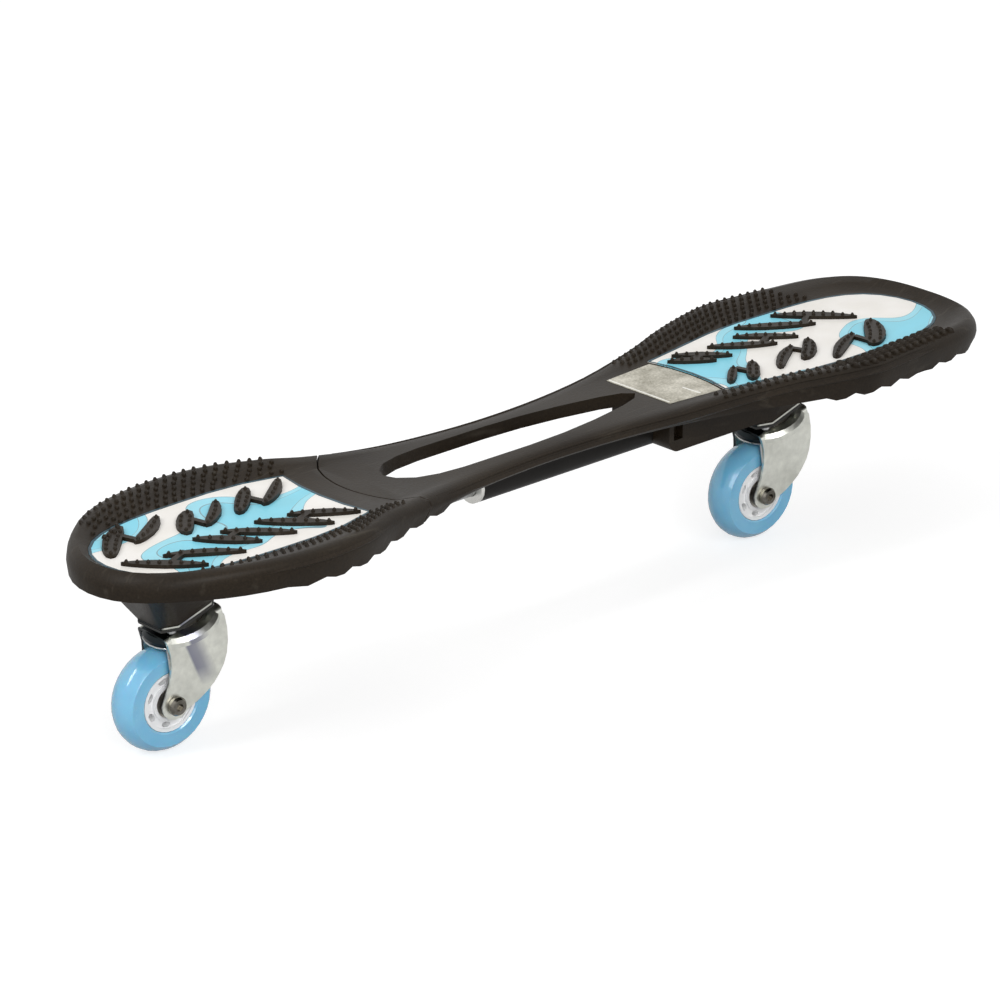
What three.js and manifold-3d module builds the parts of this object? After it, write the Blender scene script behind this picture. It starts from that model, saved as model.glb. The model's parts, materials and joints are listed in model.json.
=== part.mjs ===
// Caster board: two foot decks joined by a slotted waist and a torsion unit, on two inclined casters.
// Units are millimetres. X runs along the board to the nose, Y to its left, Z up from the ground.
// Lengths along the board are measured from a point near the middle of the waist. The finished board is
// then moved, so that the origin is on the ground in the middle of its length and width.
import * as THREE from "three";
import { ConvexGeometry } from "three/addons/geometries/ConvexGeometry.js";
import { mergeVertices } from "three/addons/utils/BufferGeometryUtils.js";
import Module from "manifold-3d";

const wasm = await Module();
wasm.setup();

// Shared fits
const FIT_GAP = 0.3;
const CUT_OVERRUN = 3;
const WELD_DISTANCE = 1e-4;

// Board outline, seen from above
const TAIL_TIP_X = -407;
const NOSE_TIP_X = 415.5;
const HALF_LENGTH = (NOSE_TIP_X - TAIL_TIP_X) / 2;
const DECK_HALF_WIDTH = 91.5;
const WAIST_HALF_WIDTH = 42.5;
const TAIL_WIDEST_X = -275;
const NOSE_WIDEST_X = 265;
// Place along the half length, and how far the waist has flared to the deck's width there
const FLARE_SHARES = [
  [TAIL_WIDEST_X / HALF_LENGTH, 1], [-0.57, 0.9], [-0.473, 0.585], [-0.364, 0.333], [-0.243, 0.121],
  [-0.109, 0.01], [0, 0], [0.121, 0.07], [0.243, 0.222], [0.364, 0.424],
  [0.485, 0.717], [0.57, 0.909], [NOSE_WIDEST_X / HALF_LENGTH, 1],
];
const NOSE_TAPER_SHARE = 0.15;
const NOSE_SQUARENESS = 7;
const NOSE_ROUNDING = 0.43;
// Towards both tips the rim gets narrower and lower, and the edge leans out to its middle height
const TIP_FROM_SHARE = 0.8;
const TIP_LEAN = 3;
const TIP_SHOULDER_SHARE = 0.55;
const TAIL_TIP_RIM_SHARE = 0.5;
const NOSE_TIP_RIM_SHARE = 0.9;
const TAIL_TIP_BORDER_SHARE = 0.21;
const NOSE_TIP_BORDER_SHARE = 0.27;
const TAIL_TIP_DROP = 2.5;
const TIP_STEPS = 13;
const PLAIN_STEP = 17;
const SCALLOP_STEPS = 3;

// Board heights and section
const FOOT_LEVEL = 147;
const WAIST_LEVEL = 146;
const RIM_RISE = 7;
const SKIRT_LEVEL = 134;
const WAIST_UNDERSIDE = 136;
const EDGE_ROUND = 6;
const CREST_INSET = 8;
const BORDER_SHARE = 0.36;
const LEVEL_SHARES = [[-1, 1], [-0.49, 1], [-0.4, 0.5], [-0.25, 0], [0.2, 0], [0.38, 0.6], [0.48, 1],
  [1, 1]];
const PLATE_THICKNESS = 6;
const SKIRT_THICKNESS = 6;
const SKIRT_FILLET = 1;
const RIB_THICKNESS = 3.5;
const RIB_PITCH = 46;

// Scallops under the skirt, where a hand grips the deck
const SCALLOP_PITCH = 24;
const SCALLOP_DEPTH = 3.5;
const SKIRT_TUCK = 2.5;
// How far down the wall its inner points are
const WALL_SHARES = [0.25, 0.5, 0.75];
const TAIL_SCALLOPS_FROM = -298;
const TAIL_SCALLOPS = 7;
const NOSE_SCALLOPS_FROM = 216;
const NOSE_SCALLOPS = 7;

// Slot in the waist, behind the bridge that carries the twist bearing
const SEAM_X = -187;
const WAIST_BRIDGE = 41;
const SLOT_TAIL_X = SEAM_X + WAIST_BRIDGE;
const SLOT_NOSE_X = 98;
const SLOT_HALF_WIDTH = 24.5;
const SLOT_SHARES = [[0, 0], [0.015, 0.36], [0.06, 0.72], [0.13, 0.92], [0.22, 1], [0.48, 1], [0.62, 0.93],
  [0.76, 0.76], [0.9, 0.5], [0.97, 0.28], [1, 0]];

// Seam between the tail deck and the waist, a ball face around the twist axis
const TWIST_LEVEL = 117;
const SEAM_RADIUS = 84;
const SEAM_CENTRE_X = SEAM_X + SEAM_RADIUS;
const SEAM_REACH = 70;
const SEAM_GAP = 1.2;

// Foot inserts and their tread pads
const INSERT_THICKNESS = 1.6;
const INSERT_MARGIN = 34.5;
const INSERT_HALF_WIDTH = DECK_HALF_WIDTH - INSERT_MARGIN;
const INSERT_STEPS = 12;
const INSERT_SEAM_MARGIN = 11;
const TAIL_INSERT_INNER_X = SEAM_X - INSERT_SEAM_MARGIN;
const TAIL_INSERT_OUTER_X = -393;
const TAIL_INSERT_SQUARENESS = 6;
const NOSE_INSERT_INNER_X = 150.5;
const NOSE_INSERT_OUTER_X = 395;
const NOSE_INSERT_SQUARENESS = 9;
const INSERT_HOLLOW = 5;
const PAD_HEIGHT = 2.6;
const PAD_STEP_LENGTH = 7;
const CURVE_STEPS = 4;
const BAR_WIDTH = 8;
// Tread pads as strokes: from and to, each along the insert from its outer end and across it from its
// centre line, then their width and their bend as shares of a plain bar's width, and how much their
// ends taper. The last six of each foot are the necks that join two pads.
const BEAN_TAPER = 0.4;
const BAR_TAPER = 0.75;
const NECK_WIDTH_SHARE = 0.55;
const TAIL_PAD_SHARES = [
  [0.254, 0.789, 0.06, 0.127, 1.6, -0.3, BEAN_TAPER], [0.41, 0.75, 0.203, 0.28, 1.15, 0.3, BEAN_TAPER],
  [0.521, 0.63, 0.385, 0.09, 1.55, -0.22, BEAN_TAPER], [0.652, 0.66, 0.482, 0.13, 1.1, 0.3, BEAN_TAPER],
  [0.809, 0.738, 0.64, 0.17, 1.35, 0, BEAN_TAPER], [0.95, 0.7, 0.757, 0.19, 1.1, 0.25, BEAN_TAPER],
  [0.047, -0.114, 0.262, -0.83, 1.2, 0, BAR_TAPER], [0.195, -0.262, 0.434, -0.807, 1.05, 0.3, BAR_TAPER],
  [0.367, -0.086, 0.534, -0.692, 1.25, 0.1, BAR_TAPER], [0.479, -0.133, 0.675, -0.756, 1.1, 0.1, BAR_TAPER],
  [0.624, -0.166, 0.827, -0.83, 1.2, 0.15, BAR_TAPER], [0.751, -0.257, 0.963, -0.77, 1.1, 0.2, BAR_TAPER],
  [0.2, 0.56, 0.222, 0.31, NECK_WIDTH_SHARE, 0, 0], [0.476, 0.43, 0.492, 0.17, NECK_WIDTH_SHARE, 0, 0],
  [0.753, 0.5, 0.774, 0.24, NECK_WIDTH_SHARE, 0, 0], [0.17, -0.5, 0.275, -0.34, NECK_WIDTH_SHARE, 0, 0],
  [0.455, -0.375, 0.53, -0.275, NECK_WIDTH_SHARE, 0, 0], [0.73, -0.51, 0.82, -0.39, NECK_WIDTH_SHARE, 0, 0],
];
const NOSE_PAD_SHARES = [
  [0.243, 0.179, 0.4, 0.88, 2, 0.35, BEAN_TAPER], [0.374, 0.413, 0.565, 0.88, 1.2, -0.27, BEAN_TAPER],
  [0.512, 0.144, 0.647, 0.65, 1.4, 0.33, BEAN_TAPER], [0.594, 0.204, 0.755, 0.665, 1.05, -0.3, BEAN_TAPER],
  [0.782, 0.26, 0.89, 0.73, 1.3, 0.1, BEAN_TAPER], [0.858, 0.253, 0.96, 0.63, 0.9, 0, BEAN_TAPER],
  [0.441, -0.83, 0.249, -0.022, 1.3, 0.3, BAR_TAPER], [0.606, -0.81, 0.388, -0.208, 1.2, 0, BAR_TAPER],
  [0.667, -0.574, 0.514, -0.006, 1, 0.2, BAR_TAPER], [0.79, -0.525, 0.605, -0.011, 1.1, 0, BAR_TAPER],
  [0.924, -0.603, 0.782, -0.089, 1.1, 0.1, BAR_TAPER], [0.97, -0.48, 0.85, -0.086, 1.05, 0.2, BAR_TAPER],
  [0.388, 0.49, 0.384, 0.8, NECK_WIDTH_SHARE, 0, 0], [0.613, 0.22, 0.59, 0.46, NECK_WIDTH_SHARE, 0, 0],
  [0.86, 0.3, 0.845, 0.52, NECK_WIDTH_SHARE, 0, 0], [0.43, -0.285, 0.348, -0.52, NECK_WIDTH_SHARE, 0, 0],
  [0.652, -0.13, 0.58, -0.285, NECK_WIDTH_SHARE, 0, 0], [0.915, -0.3, 0.845, -0.35, NECK_WIDTH_SHARE, 0, 0],
];
const LABEL_X = 101;
const LABEL_INSERT_GAP = 1.3;
const LABEL_LENGTH = NOSE_INSERT_INNER_X - LABEL_INSERT_GAP - LABEL_X;
const LABEL_HALF_WIDTH = 33;
const LABEL_THICKNESS = 0.6;
const LABEL_FLARE_SHARE = 0.09;

// Torsion unit under the waist
const TUBE_RADIUS = 13;
const TUBE_BORE_RADIUS = 10.5;
const TUBE_TAIL_X = -62;
const TUBE_NOSE_X = 150;
const END_RING_LENGTH = 3;
const SHAFT_RADIUS = 7.5;
const RUBBER_LENGTH = 120;
const HOUSING_TAIL_X = 104;
const HOUSING_HALF_WIDTH = 30;
const HOUSING_LEVEL = 105.6;
const HOUSING_ROUND = 9;
const HOUSING_POCKET_LENGTH = 9;
const HOUSING_POCKET_HEIGHT = 17;
const HOUSING_POCKET_DEPTH = 7;
const COLLAR_SETBACK = 23;
const COLLAR_WALL = 2.2;
const WAIST_BOSS_RADIUS = 12.5;
const WAIST_BOSS_LENGTH = 38;
const WAIST_BOSS_NOSE_X = SEAM_X + WAIST_BOSS_LENGTH;
const BUSHING_WALL = 2;
const TAIL_BOSS_LENGTH = 62;
const TAIL_BOSS_RADIUS = 14;
const CROSS_PIN_RADIUS = 2.5;
const LOCK_SCREW_RADIUS = 2.5;
const LOCK_SCREW_HEAD_RADIUS = 4.5;
const LOCK_SCREW_HEAD_HEIGHT = 3;

// Wheels
const WHEEL_RADIUS = 38;
const TYRE_WIDTH = 24;
const TREAD_CROWN_RADIUS = 15;
const HUB_RADIUS = 21.5;
const HUB_WIDTH = 22;
const HUB_LIP = 2.2;
const HUB_WEB_THICKNESS = 18;
const HUB_SEAT_WALL = 2.5;
const HUB_WINDOWS = 7;
const HUB_WINDOW_EDGE = 0.5;
const HUB_WINDOW_STRETCH = 1.6;
const BEARING_RADIUS = 11;
const BEARING_WIDTH = 7;
const BEARING_SHIELD_RADIUS = 6.2;
const BEARING_BORE_RADIUS = 4;
const AXLE_RADIUS = 3.7;
const AXLE_HEAD_RADIUS = 6.85;
const AXLE_HEAD_HEIGHT = 4.5;
const AXLE_SOCKET_RADIUS = 3;
const AXLE_NUT_RADIUS = 7;
const AXLE_NUT_HEIGHT = 6;
const AXLE_END_PROUD = 1;
const AXLE_SPACER_RADIUS = 6;

// Casters
const RAKE = THREE.MathUtils.degToRad(17);
const REST_SWIVEL = THREE.MathUtils.degToRad(-3.5);
const TAIL_PIVOT_X = -331.2;
const NOSE_PIVOT_X = 237.8;
const TRAIL = 31;
const DROP = 49;
const FORK_STEEL = 2.6;
const FORK_HALF_WIDTH = 17.2;
const FORK_HEAD_RADIUS = 29.5;
const FORK_BEND_RADIUS = 4.5;
const FORK_CAP_RADIUS = 27;
const FORK_CAP_HEIGHT = 8;
const FORK_EAR_RADIUS = 10.5;
// Cheek edges as shares of the trail and of the drop, measured from the axle
const CHEEK_NOSE_SHARES = [[0.62, -0.13], [0.98, -0.06], [1.26, 0.05], [1.51, 0.2], [1.7, 0.45],
  [1.79, 0.72], [1.79, 1]];
const CHEEK_TAIL_SHARES = [[0.24, 1], [0.24, 0.74], [0.14, 0.52], [0, 0.33]];
const KINGPIN_RADIUS = 6;
const KINGPIN_HEAD_RADIUS = 9;
const KINGPIN_HEAD_HEIGHT = 4.5;
const KINGPIN_NUT_RADIUS = 9.5;
const KINGPIN_NUT_HEIGHT = 5;
const RACE_RADIUS = 18.5;
const RACE_HEIGHT = 5;
const MOUNT_HALF_LENGTH = 24;
const MOUNT_HALF_WIDTH = 21;
const MOUNT_CHAMFER = 9;
const MOUNT_THICKNESS = 3;
const MOUNT_SCREW_X = 17;
const MOUNT_SCREW_Y = 14.5;
const MOUNT_SCREW_RADIUS = 1.9;
const MOUNT_SCREW_HEAD_RADIUS = 3.4;
const MOUNT_SCREW_HEAD_HEIGHT = 2.2;
const MOUNT_SCREW_DEPTH = 9;
const BOSS_FLARE = 22;
const BOSS_TAIL_STRETCH = 1.35;

// Faces round a turned piece, by its size
const TYRE_SIDES = 36;
const TREAD_STEPS = 6;
const SEAM_STEPS = 8;
const SEAM_SIDES = 40;
const HUB_SIDES = 28;
const RING_SIDES = 20;
const SMALL_SIDES = 10;
const HEX_SIDES = 6;

// The ground touches both tyres, so the fork head stands this high at rest
const HEAD_LEVEL = WHEEL_RADIUS + TRAIL * Math.cos(REST_SWIVEL) * Math.sin(RAKE) + DROP * Math.cos(RAKE);
const RACE_BOTTOM = FIT_GAP;
const MOUNT_BOTTOM = RACE_BOTTOM + RACE_HEIGHT + FIT_GAP;
const MOUNT_TOP = MOUNT_BOTTOM + MOUNT_THICKNESS;

const PLASTIC = { color: 0x2b2724, roughness: 0.62, metalness: 0 };
const DARK_METAL = { color: 0x3a3c3c, roughness: 0.5, metalness: 0.6 };
const ZINC = { color: 0xc9cac4, roughness: 0.35, metalness: 0.9 };
const STEEL = { color: 0x8d8d8a, roughness: 0.3, metalness: 0.95 };
const BLUE_SHEET = { color: 0x86d3ea, roughness: 0.45, metalness: 0 };
const FOIL = { color: 0xb9bab6, roughness: 0.4, metalness: 0.8 };
const RUBBER = { color: 0x1c1b1a, roughness: 0.9, metalness: 0 };
const TYRE_BLUE = { color: 0x6db3dc, roughness: 0.3, metalness: 0 };
const HUB_WHITE = { color: 0xeceeee, roughness: 0.45, metalness: 0 };

// Solids and meshes

function signedVolume(positions, triangles) {
  const a = new THREE.Vector3();
  const b = new THREE.Vector3();
  const c = new THREE.Vector3();
  let total = 0;
  for (let i = 0; i < triangles.length; i += 3) {
    a.fromArray(positions, triangles[i] * 3);
    b.fromArray(positions, triangles[i + 1] * 3);
    c.fromArray(positions, triangles[i + 2] * 3);
    total += a.dot(b.cross(c));
  }
  return total;
}

function toSolid(geometry) {
  const bare = geometry.clone();
  for (const name of Object.keys(bare.attributes)) {
    if (name !== "position") bare.deleteAttribute(name);
  }
  const merged = mergeVertices(bare, WELD_DISTANCE);
  const vertProperties = new Float32Array(merged.getAttribute("position").array);
  const corners = Array.from(merged.index.array);
  const kept = [];
  for (let i = 0; i < corners.length; i += 3) {
    const [a, b, c] = corners.slice(i, i + 3);
    if (a !== b && b !== c && c !== a) kept.push(a, b, c);
  }
  if (signedVolume(vertProperties, kept) < 0) kept.reverse();
  const triVerts = Uint32Array.from(kept);
  return new wasm.Manifold(new wasm.Mesh({ numProp: 3, vertProperties, triVerts }));
}

function toGeometry(solid) {
  const mesh = solid.getMesh();
  const geometry = new THREE.BufferGeometry();
  geometry.setAttribute("position", new THREE.BufferAttribute(new Float32Array(mesh.vertProperties), 3));
  geometry.setIndex(Array.from(mesh.triVerts));
  geometry.computeVertexNormals();
  return geometry;
}

function piece(name, solid, look) {
  const mesh = new THREE.Mesh(toGeometry(solid), new THREE.MeshStandardMaterial(look));
  mesh.name = name;
  return mesh;
}

function joined(solids) {
  return solids.reduce((whole, next) => whole.add(next));
}

// Shape tools

// A closed profile of radius and height, turned round Z
function turned(profile, sides) {
  const points = profile.map(([radius, height]) => new THREE.Vector2(radius, height));
  return new THREE.LatheGeometry(points, sides).rotateX(Math.PI / 2);
}

function ring(inner, outer, bottom, top, sides) {
  return turned([[inner, bottom], [outer, bottom], [outer, top], [inner, top], [inner, bottom]], sides);
}

function rod(radius, bottom, top, sides) {
  return turned([[0, bottom], [radius, bottom], [radius, top], [0, top]], sides);
}

function alongX(geometry) {
  return geometry.rotateY(Math.PI / 2);
}

function alongY(geometry) {
  return geometry.rotateX(-Math.PI / 2);
}

function box(x0, x1, y0, y1, z0, z1) {
  const geometry = new THREE.BoxGeometry(x1 - x0, y1 - y0, z1 - z0);
  return geometry.translate((x0 + x1) / 2, (y0 + y1) / 2, (z0 + z1) / 2);
}

// A plan outline raised from one height to another
function raised(shape, bottom, top) {
  const options = { depth: top - bottom, bevelEnabled: false, curveSegments: CURVE_STEPS };
  return new THREE.ExtrudeGeometry(shape, options).translate(0, 0, bottom);
}

// A side view outline, drawn in X and Z, spread evenly to both sides of the centre line
function spreadAcross(shape, halfWidth) {
  const options = { depth: 2 * halfWidth, bevelEnabled: false, curveSegments: CURVE_STEPS };
  return new THREE.ExtrudeGeometry(shape, options).rotateX(Math.PI / 2).translate(0, halfWidth, 0);
}

// A smooth curve through the rows of a table
function readTable(table, at) {
  const last = table.length - 1;
  if (at <= table[0][0]) return table[0][1];
  if (at >= table[last][0]) return table[last][1];
  const i = table.findIndex(([place]) => place > at) - 1;
  const slope = (k) => {
    if (k === 0 || k === last) return 0;
    return (table[k + 1][1] - table[k - 1][1]) / (table[k + 1][0] - table[k - 1][0]);
  };
  const span = table[i + 1][0] - table[i][0];
  const t = (at - table[i][0]) / span;
  const [from, to] = [table[i][1], table[i + 1][1]];
  const eased = t * t * (3 - 2 * t);
  const bend = t * (1 - t) * span * ((1 - t) * slope(i) - t * slope(i + 1));
  return from + (to - from) * eased + bend;
}

// Board outline

function flareAt(x) {
  return readTable(FLARE_SHARES, x / HALF_LENGTH);
}

function halfWidthAt(x) {
  return WAIST_HALF_WIDTH + (DECK_HALF_WIDTH - WAIST_HALF_WIDTH) * flareAt(x);
}

function tailTip(turn) {
  const x = TAIL_WIDEST_X - (TAIL_WIDEST_X - TAIL_TIP_X) * Math.sin(turn);
  return [x, DECK_HALF_WIDTH * Math.cos(turn)];
}

function noseTip(share) {
  const x = NOSE_WIDEST_X + (NOSE_TIP_X - NOSE_WIDEST_X) * share;
  const taper = 1 - NOSE_TAPER_SHARE * share;
  return [x, DECK_HALF_WIDTH * taper * (1 - share ** NOSE_SQUARENESS) ** NOSE_ROUNDING];
}

function scallopAt(x) {
  for (const [from, count] of [[TAIL_SCALLOPS_FROM, TAIL_SCALLOPS], [NOSE_SCALLOPS_FROM, NOSE_SCALLOPS]]) {
    const share = (x - from) / SCALLOP_PITCH;
    if (share > 0 && share < count) return Math.abs(Math.sin(Math.PI * share));
  }
  return 0;
}

function stationsBetween(from, to) {
  const stations = [];
  const scallopEnds = [TAIL_SCALLOPS_FROM, TAIL_SCALLOPS_FROM + TAIL_SCALLOPS * SCALLOP_PITCH,
    NOSE_SCALLOPS_FROM, NOSE_SCALLOPS_FROM + NOSE_SCALLOPS * SCALLOP_PITCH];
  const marks = [from, ...scallopEnds.filter((x) => x > from && x < to), to];
  for (let i = 0; i + 1 < marks.length; i += 1) {
    const waved = scallopAt((marks[i] + marks[i + 1]) / 2 + SCALLOP_PITCH / 3) > 0;
    const step = waved ? SCALLOP_PITCH / SCALLOP_STEPS : PLAIN_STEP;
    const count = Math.max(1, Math.round((marks[i + 1] - marks[i]) / step));
    for (let k = 0; k < count; k += 1) stations.push(marks[i] + (marks[i + 1] - marks[i]) * (k / count));
  }
  return stations;
}

// The left edge of the board, from the tail's tip to the nose's tip
function leftEdge() {
  const edge = [];
  for (let k = TIP_STEPS; k > 0; k -= 1) edge.push(tailTip((Math.PI / 2) * (k / TIP_STEPS)));
  for (const x of stationsBetween(TAIL_WIDEST_X, NOSE_WIDEST_X)) edge.push([x, halfWidthAt(x)]);
  for (let k = 0; k <= 2 * TIP_STEPS; k += 1) edge.push(noseTip(1 - (1 - k / (2 * TIP_STEPS)) ** 2));
  edge[0][1] = 0;
  edge[edge.length - 1][1] = 0;
  return edge;
}

const SPINE_TAIL_X = (TAIL_WIDEST_X + TAIL_TIP_X) / 2;
const SPINE_NOSE_X = (NOSE_WIDEST_X + NOSE_TIP_X) / 2;

function deckShareAt(x) {
  return readTable(LEVEL_SHARES, x / HALF_LENGTH);
}

function tipShareAt(x) {
  return THREE.MathUtils.smoothstep(Math.abs(x) / HALF_LENGTH, TIP_FROM_SHARE, 1);
}

// A point of the edge and how far it is from the board's spine, which ends short of both tips
function spineOf(x, y) {
  const spineX = THREE.MathUtils.clamp(x, SPINE_TAIL_X, SPINE_NOSE_X);
  return { spineX, reach: Math.hypot(x - spineX, y) };
}

// Heights of the section at one place of the edge, from the spine out over the rim and back below
function sectionAt(x, reach) {
  const deck = deckShareAt(x);
  const flat = WAIST_LEVEL + (FOOT_LEVEL - WAIST_LEVEL) * deck;
  const tip = tipShareAt(x);
  const lean = TIP_LEAN * tip ** 2;
  const tipRim = x < 0 ? TAIL_TIP_RIM_SHARE : NOSE_TIP_RIM_SHARE;
  const tipBorder = x < 0 ? TAIL_TIP_BORDER_SHARE : NOSE_TIP_BORDER_SHARE;
  const crest = flat + RIM_RISE * deck * THREE.MathUtils.lerp(1, tipRim, tip ** 2);
  const full = x < 0 ? tip ** 4 : 0;
  const tuck = SKIRT_TUCK * (1 - full);
  const bottom = WAIST_UNDERSIDE + (SKIRT_LEVEL - WAIST_UNDERSIDE) * deck - TAIL_TIP_DROP * full;
  const border = reach * THREE.MathUtils.lerp(BORDER_SHARE, tipBorder, tip);
  const quarter = EDGE_ROUND * (1 - Math.SQRT1_2);
  const upper = crest - EDGE_ROUND;
  const shoulder = lean * TIP_SHOULDER_SHARE;
  const wall = WALL_SHARES.map((share) => {
    const bulge = 2 * share - 1;
    const above = shoulder * Math.max(0, -bulge) ** 2;
    const below = tuck * THREE.MathUtils.lerp(share ** 2, Math.max(0, bulge) ** 2, tip);
    return [above + below, THREE.MathUtils.lerp(upper, bottom, share)];
  });
  return [
    [reach, flat],
    [border, flat],
    [(border + CREST_INSET) / 2, (flat + crest) / 2],
    [CREST_INSET, crest],
    [quarter + lean, crest - quarter],
    [shoulder, upper],
    ...wall,
    [tuck, bottom - SCALLOP_DEPTH * scallopAt(x)],
    [SKIRT_TUCK + SKIRT_THICKNESS, bottom - SCALLOP_DEPTH * scallopAt(x)],
    [SKIRT_TUCK + SKIRT_THICKNESS + SKIRT_FILLET, bottom],
    [reach, bottom],
  ];
}

// The whole board as one closed skin, before it is cut in two
function boardSkin() {
  const left = leftEdge();
  const right = left.slice(1, -1).reverse().map(([x, y]) => [x, -y]);
  const edge = [...left, ...right];
  const positions = [];
  const rows = edge.map(([x, y]) => {
    const { spineX, reach } = spineOf(x, y);
    return sectionAt(x, reach).map(([inset, height]) => {
      const share = inset / reach;
      positions.push(x + (spineX - x) * share, y * (1 - share), height);
      return positions.length / 3 - 1;
    });
  });
  const triangles = [];
  rows.forEach((row, i) => {
    const next = rows[(i + 1) % rows.length];
    for (let k = 0; k + 1 < row.length; k += 1) {
      triangles.push(row[k], row[k + 1], next[k + 1], row[k], next[k + 1], next[k]);
    }
  });
  const geometry = new THREE.BufferGeometry();
  geometry.setAttribute("position", new THREE.Float32BufferAttribute(positions, 3));
  geometry.setIndex(triangles);
  return geometry;
}

// Everything on the nose side of the seam, turned round the twist axis
function noseSide(clearance) {
  const radius = SEAM_RADIUS + clearance;
  const far = NOSE_TIP_X + CUT_OVERRUN;
  const profile = [];
  const steps = SEAM_STEPS;
  const widest = Math.asin(SEAM_REACH / SEAM_RADIUS);
  for (let k = 0; k <= steps; k += 1) {
    const turn = widest * (k / steps);
    profile.push([radius * Math.sin(turn), SEAM_CENTRE_X - radius * Math.cos(turn)]);
  }
  const rim = SEAM_CENTRE_X - radius * Math.cos(widest);
  profile.push([2 * DECK_HALF_WIDTH, rim], [2 * DECK_HALF_WIDTH, far], [0, far]);
  return alongX(turned(profile, SEAM_SIDES)).translate(0, 0, TWIST_LEVEL);
}

// Slot through the waist
function slotCutter() {
  const shape = new THREE.Shape();
  const length = SLOT_NOSE_X - SLOT_TAIL_X;
  const place = ([along, across]) => [SLOT_TAIL_X + length * along, SLOT_HALF_WIDTH * across];
  const edge = SLOT_SHARES.map(place);
  const inner = edge.slice(1, -1);
  shape.moveTo(...edge[0]);
  for (const [x, y] of inner) shape.lineTo(x, -y);
  shape.lineTo(...edge[edge.length - 1]);
  for (const [x, y] of inner.reverse()) shape.lineTo(x, y);
  shape.closePath();
  return toSolid(raised(shape, WAIST_UNDERSIDE - RIM_RISE - CUT_OVERRUN, FOOT_LEVEL + RIM_RISE));
}

// Hollow under a foot deck, with its ribs left standing
function deckHollow(from, to) {
  const ceiling = FOOT_LEVEL - PLATE_THICKNESS;
  const floor = SKIRT_LEVEL - SCALLOP_DEPTH - TAIL_TIP_DROP - CUT_OVERRUN;
  const inset = SKIRT_TUCK + SKIRT_THICKNESS + SKIRT_FILLET;
  const left = leftEdge().map(([x, y]) => {
    const { spineX, reach } = spineOf(x, y);
    return [x + ((spineX - x) * inset) / reach, y - (y * inset) / reach];
  });
  const inside = left.filter(([x]) => x > from && x < to);
  const shape = new THREE.Shape();
  inside.forEach(([x, y], i) => (i ? shape.lineTo(x, y) : shape.moveTo(x, y)));
  for (const [x, y] of inside.reverse()) shape.lineTo(x, -y);
  shape.closePath();
  let hollow = toSolid(raised(shape, floor, ceiling));
  const half = RIB_THICKNESS / 2;
  const wide = DECK_HALF_WIDTH;
  const lowest = floor - CUT_OVERRUN;
  const highest = ceiling + CUT_OVERRUN;
  for (let x = from + RIB_PITCH; x < to; x += RIB_PITCH) {
    hollow = hollow.subtract(toSolid(box(x - half, x + half, -wide, wide, lowest, highest)));
  }
  for (const y of [-RIB_PITCH, 0, RIB_PITCH]) {
    hollow = hollow.subtract(toSolid(box(from, to, y - half, y + half, lowest, highest)));
  }
  return hollow;
}

// Casters

function casterFrame(pivotX) {
  const group = new THREE.Group();
  group.position.set(pivotX, 0, HEAD_LEVEL);
  group.rotation.y = -RAKE;
  group.updateMatrix();
  return group;
}

function mountOutline(grow) {
  const [length, width] = [MOUNT_HALF_LENGTH + grow, MOUNT_HALF_WIDTH + grow];
  const [inLength, inWidth] = [length - MOUNT_CHAMFER, width - MOUNT_CHAMFER];
  return [[length, -inWidth], [length, inWidth], [inLength, width], [-inLength, width],
    [-length, inWidth], [-length, -inWidth], [-inLength, -width], [inLength, -width]];
}

// Wedge under a deck that carries the caster's mounting plate, with blind screw holes
function casterBoss(pivotX) {
  const frame = casterFrame(pivotX).matrix;
  const seat = MOUNT_TOP + FIT_GAP;
  const lower = mountOutline(0).map(([x, y]) => new THREE.Vector3(x, y, seat).applyMatrix4(frame));
  const upper = mountOutline(BOSS_FLARE).map(([x, y]) => {
    const along = x < 0 ? x * BOSS_TAIL_STRETCH : x;
    const point = new THREE.Vector3(along, y, 0).applyMatrix4(frame);
    return point.setZ(FOOT_LEVEL - PLATE_THICKNESS / 2);
  });
  let boss = toSolid(new ConvexGeometry([...lower, ...upper]));
  const pocketTop = seat + KINGPIN_HEAD_HEIGHT + FIT_GAP;
  const pocket = rod(KINGPIN_HEAD_RADIUS + FIT_GAP, seat - CUT_OVERRUN, pocketTop, RING_SIDES);
  boss = boss.subtract(toSolid(pocket.applyMatrix4(frame)));
  for (const [x, y] of screwPlaces()) {
    const ends = [seat - CUT_OVERRUN, seat + MOUNT_SCREW_DEPTH];
    const hole = rod(MOUNT_SCREW_RADIUS + FIT_GAP, ...ends, SMALL_SIDES);
    boss = boss.subtract(toSolid(hole.translate(x, y, 0).applyMatrix4(frame)));
  }
  return boss;
}

function screwPlaces() {
  const places = [];
  for (const x of [-MOUNT_SCREW_X, MOUNT_SCREW_X]) {
    for (const y of [-MOUNT_SCREW_Y, MOUNT_SCREW_Y]) places.push([x, y]);
  }
  return places;
}

function mountingPlate() {
  const shape = new THREE.Shape(mountOutline(0).map(([x, y]) => new THREE.Vector2(x, y)));
  let plate = toSolid(raised(shape, MOUNT_BOTTOM, MOUNT_TOP));
  const through = [MOUNT_BOTTOM - CUT_OVERRUN, MOUNT_TOP + CUT_OVERRUN];
  plate = plate.subtract(toSolid(rod(KINGPIN_RADIUS + FIT_GAP, ...through, RING_SIDES)));
  for (const [x, y] of screwPlaces()) {
    const hole = rod(MOUNT_SCREW_RADIUS + FIT_GAP, ...through, SMALL_SIDES).translate(x, y, 0);
    plate = plate.subtract(toSolid(hole));
  }
  return plate;
}

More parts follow.
